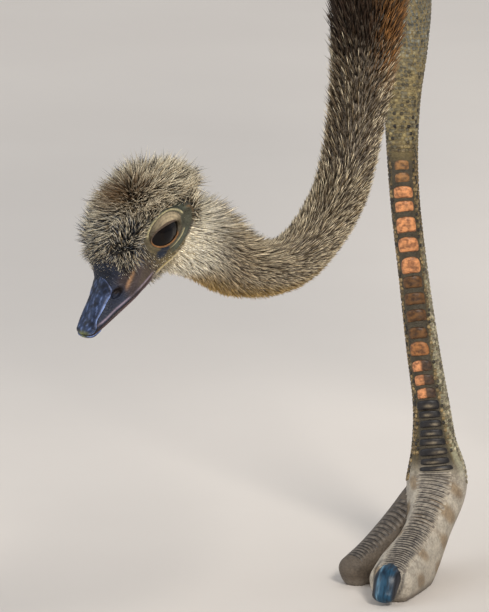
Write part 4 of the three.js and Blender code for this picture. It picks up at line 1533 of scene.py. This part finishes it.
def makeNeckBristles(name, low, high, count):
    def weight(points, rows, kinds):
        along = rows[:, 0]
        return neckWeight(points, rows, kinds) * (along > low) * (along <= high)

    roots = rootsOn(["neck"], count, weight)
    lie = tangent(neckLie(roots) + random.normal(0, 0.12, (count, 3)), roots["out"])
    height = roots["at"][:, 2]
    rise = smoothStep(470, 700, height)
    ragged = height + random.normal(0, 7, count)
    dark = smoothStep(536, 556, ragged)
    dorsal = smoothStep(0.3, 0.9, -roots["out"][:, 1]) * smoothStep(370, 400, height)
    stand = np.radians(38 - 16 * rise + 14 * dorsal * (1 - dark)) + random.normal(0, 0.14, count)
    nearHead = toHead(roots["at"])
    nape = smoothStep(-110, -60, nearHead[:, 0]) * smoothStep(0.0, 0.6, roots["out"][:, 2])
    stand = stand + 0.38 * nape
    aim = lie * np.cos(stand)[:, None] + roots["out"] * np.sin(stand)[:, None]
    length = neckCoat["low"] + (neckCoat["high"] - neckCoat["low"]) * rise + 14 * nape
    length = length + 8 * dorsal * smoothStep(545, 500, height)
    length = length * (0.7 + 0.5 * random.random(count))
    bend = lie * 0.1 + roots["out"] * -0.06
    root = pick(count, neckCoat["darks"], (0.4, 0.3, 0.3))
    tip = pick(count, neckCoat["tips"], (0.46, 0.2, 0.34))
    pale = (1 - dark) * (random.random(count) < 0.35 + 0.3 * smoothStep(440, 400, height))
    tip = mixRows(tip, (0.95, 0.80, 0.56), pale * 0.75)
    brown = random.random(count) < 0.08 + 0.38 * smoothStep(385, 530, height) + 0.34 * dorsal
    root = mixRows(root, (0.028, 0.018, 0.010), brown * 0.9)
    tip = mixRows(tip, (0.095, 0.056, 0.026), brown * 0.85)
    root = mixRows(root, (0.016, 0.008, 0.004), dark * 0.92)
    tip = mixRows(tip, (0.034, 0.016, 0.007), dark * 0.92)
    rust = smoothStep(0.3, 0.9, roots["out"][:, 0]) * smoothStep(500, 540, height) * (random.random(count) < 0.6)
    tip = mixRows(tip, (0.34, 0.15, 0.04), rust)
    # cream tufts at the throat, painted near white as a painted highlight on top of their cream
    throat = smoothStep(-90, -50, nearHead[:, 2]) * smoothStep(-80, -30, nearHead[:, 0] + nearHead[:, 2] * 0.2)
    tip = mixRows(tip, (1.0, 0.96, 0.84), throat * 0.92)
    root = mixRows(root, (0.90, 0.82, 0.64), throat * 0.9)
    under = smoothStep(-0.3, -0.9, roots["out"][:, 2]) * smoothStep(-190, -60, nearHead[:, 0]) * (1 - dark)
    under = under * (1 - throat * smoothStep(-75, -50, nearHead[:, 2]))
    tip = mixRows(tip, (0.60, 0.40, 0.11), under * 0.75)
    root = mixRows(root, (0.26, 0.15, 0.04), under * 0.75)
    return scatter(name, spike((1, 0.75, 0.04)), roots, aim, bend, length,
                   neckCoat["width"] * (1 + 1.2 * rise), (mottled(root, 0.3), mottled(tip, 0.3)))


dress(makeNeckBristles("neck_bristles_low", 0.62, 1.0, 13000), bristleFinish, "neck_bristles")
dress(makeNeckBristles("neck_bristles_high", 0.2, 0.62, 9000), bristleFinish, "neck_bristles")


# plumes of the body, wings and tail

plumeFinish = Finish("plumes", Roughness=0.8, Specular_IOR_Level=0.2)
soft = plumeFinish.place.noise(160.0, 3.0)
plumeFinish.feed(Base_Color=soft.between(0.3, 0.7).mix((0.75, 0.75, 0.75, 1), (1.2, 1.18, 1.15, 1)).times(
    plumeFinish.attribute("tint")))
plumeFinish.feed(Roughness=0.7 + 0.2 * soft)

bodyPlumes = {
    "count": 4960, "long": 112, "stand": 14,
    "root": (0.055, 0.045, 0.038), "tip": (0.20, 0.165, 0.135),
}


def trunkLie(roots):
    # towards the tail, and falling with the side of the body
    fall = roots["out"][:, 2:3]
    lie = np.tile((0.0, 1.0, -0.15), (len(roots["at"]), 1))
    return lie + np.array([0, 0, -0.55]) * (1 - np.abs(fall))


def makePlumes(name, parts, count, weight, look, lie, length, shape, tip=None, droop=0.12):
    roots = rootsOn(parts, count, weight)
    flow = tangent(lie(roots) + random.normal(0, 0.16, (count, 3)), roots["out"])
    stand = np.radians(look["stand"]) + random.normal(0, 0.09, count)
    aim = flow * np.cos(stand)[:, None] + roots["out"] * np.sin(stand)[:, None]
    long = length(roots) * (0.8 + 0.35 * random.random(count))
    bend = flow * 0.05 + np.array([0, 0, -droop]) - roots["out"] * 0.10
    root = mottled(np.tile(look["root"], (count, 1)), 0.25)
    tips = np.tile(look["tip"], (count, 1)) if tip is None else tip(roots)
    wide = long * (0.8 + 0.3 * random.random(count))
    return scatter(name, shape, roots, aim, bend, long, wide, (root, mottled(tips, 0.28)), sunk=2.0, twist=0.3)


def bodyWeight(points, rows, kinds):
    # none under the tops of the thighs
    x, y, z = points.T
    thigh = np.hypot((np.abs(x) - 158) / 80, (y + 58) / 100)
    return 1 - smoothStep(1.1, 0.9, thigh) * smoothStep(915, 895, z)


bodyShape = plume(7, 34, 0.06, 0.022)
half = bodyPlumes["count"] // 2
for number in range(2):
    dress(makePlumes("body_plumes_%d" % number, ["trunk"], half, bodyWeight, bodyPlumes, trunkLie,
                     lambda roots: np.full(len(roots["at"]), float(bodyPlumes["long"])), bodyShape),
          plumeFinish, "body_plumage")


# the neck's plumes, which lengthen into the breast

neckPlumes = {"stand": 12, "root": (0.040, 0.028, 0.020), "tip": (0.115, 0.080, 0.055)}


def neckPlumeWeight(points, rows, kinds):
    height = points[:, 2]
    return smoothStep(610, 760, height) * (rows[:, 0] < 0.62) * (0.4 + 0.6 * smoothStep(950, 700, height)) + 1e-9


def neckPlumeLength(roots):
    return 46 + 62 * smoothStep(720, 960, roots["at"][:, 2])


def neckTip(roots):
    rise = smoothStep(780, 960, roots["at"][:, 2])
    tips = np.tile(neckPlumes["tip"], (len(rise), 1))
    return mixRows(tips, bodyPlumes["tip"], rise)


smallShape = plume(5, 26, 0.05, 0.020)
dress(makePlumes("neck_plumes", ["neck"], 2450, neckPlumeWeight, neckPlumes, neckLie, neckPlumeLength,
                 smallShape, neckTip, droop=0.02), plumeFinish, "body_plumage")


# the folded wings: short coverts, and long pale plumes that hang over their lower rear edge

wingCoat = {
    "coverts": {"stand": 13, "root": (0.050, 0.041, 0.035), "tip": (0.175, 0.145, 0.118)},
    "plumes": {"stand": 10, "root": (0.10, 0.085, 0.07), "tip": (0.46, 0.42, 0.37)},
    "low": -34, "high": 44, "from": 0.16, "to": 0.84,
}


def sideAngle(angles):
    # degrees above the level of the body's middle, on either side
    return np.degrees(np.arctan2(np.sin(angles), np.abs(np.cos(angles))))


def wingWeight(side, low, high, first, last):
    def weight(points, rows, kinds):
        angles = rows[:, 1] * 2 * math.pi
        level = sideAngle(angles)
        onSide = np.cos(angles) * side > 0
        span = smoothStep(first - 0.04, first + 0.06, rows[:, 0]) * smoothStep(last + 0.04, last - 0.06, rows[:, 0])
        return onSide * span * smoothStep(low - 4, low + 4, level) * smoothStep(high + 4, high - 4, level) + 1e-9
    return weight


def wingLie(roots):
    return np.tile((0.0, 1.0, -0.42), (len(roots["at"]), 1))


def palerBack(roots):
    # the wing's plumes pale towards the rear
    rear = smoothStep(0.75, 0.25, roots["row"])
    tips = np.tile((0.26, 0.225, 0.19), (len(rear), 1))
    return mixRows(tips, wingCoat["plumes"]["tip"], rear)


longShape = plume(12, 36, 0.12, 0.0125)
for side, name in ((1, "left"), (-1, "right")):
    coverts = makePlumes(
        "wing_coverts_" + name, ["trunk"], 1500,
        wingWeight(side, wingCoat["low"], wingCoat["high"], wingCoat["from"], wingCoat["to"]),
        wingCoat["coverts"], wingLie, lambda roots: 120 + 40 * smoothStep(0.8, 0.3, roots["row"]), bodyShape)
    dress(coverts, plumeFinish, "wing_plumes", "wing_" + name)
    plumes = makePlumes(
        "wing_plumes_" + name, ["trunk"], 420, wingWeight(side, -30, 8, 0.17, 0.72),
        wingCoat["plumes"], wingLie, lambda roots: 165 + 50 * smoothStep(0.6, 0.2, roots["row"]), longShape,
        palerBack, droop=0.2)
    dress(plumes, plumeFinish, "wing_plumes")


# the tail: limp plumes that fall behind the rump

tailCoat = {"stand": 24, "root": (0.09, 0.075, 0.06), "tip": (0.40, 0.35, 0.29)}


def tailWeight(points, rows, kinds):
    upper = smoothStep(-50, 10, sideAngle(rows[:, 1] * 2 * math.pi))
    return smoothStep(0.24, 0.10, rows[:, 0]) * (0.25 + upper) + 1e-9


def tailLie(roots):
    out = roots["out"]
    return np.column_stack([out[:, 0] * 0.3, np.full(len(out), 1.0), np.full(len(out), -0.35)])


tail = makePlumes("tail_plumes", ["trunk"], 900, tailWeight, tailCoat, tailLie,
                  lambda roots: 130 + 66 * smoothStep(0.2, 0.05, roots["row"]), longShape, droop=0.42)
dress(tail, plumeFinish, "body_plumage", "tail")
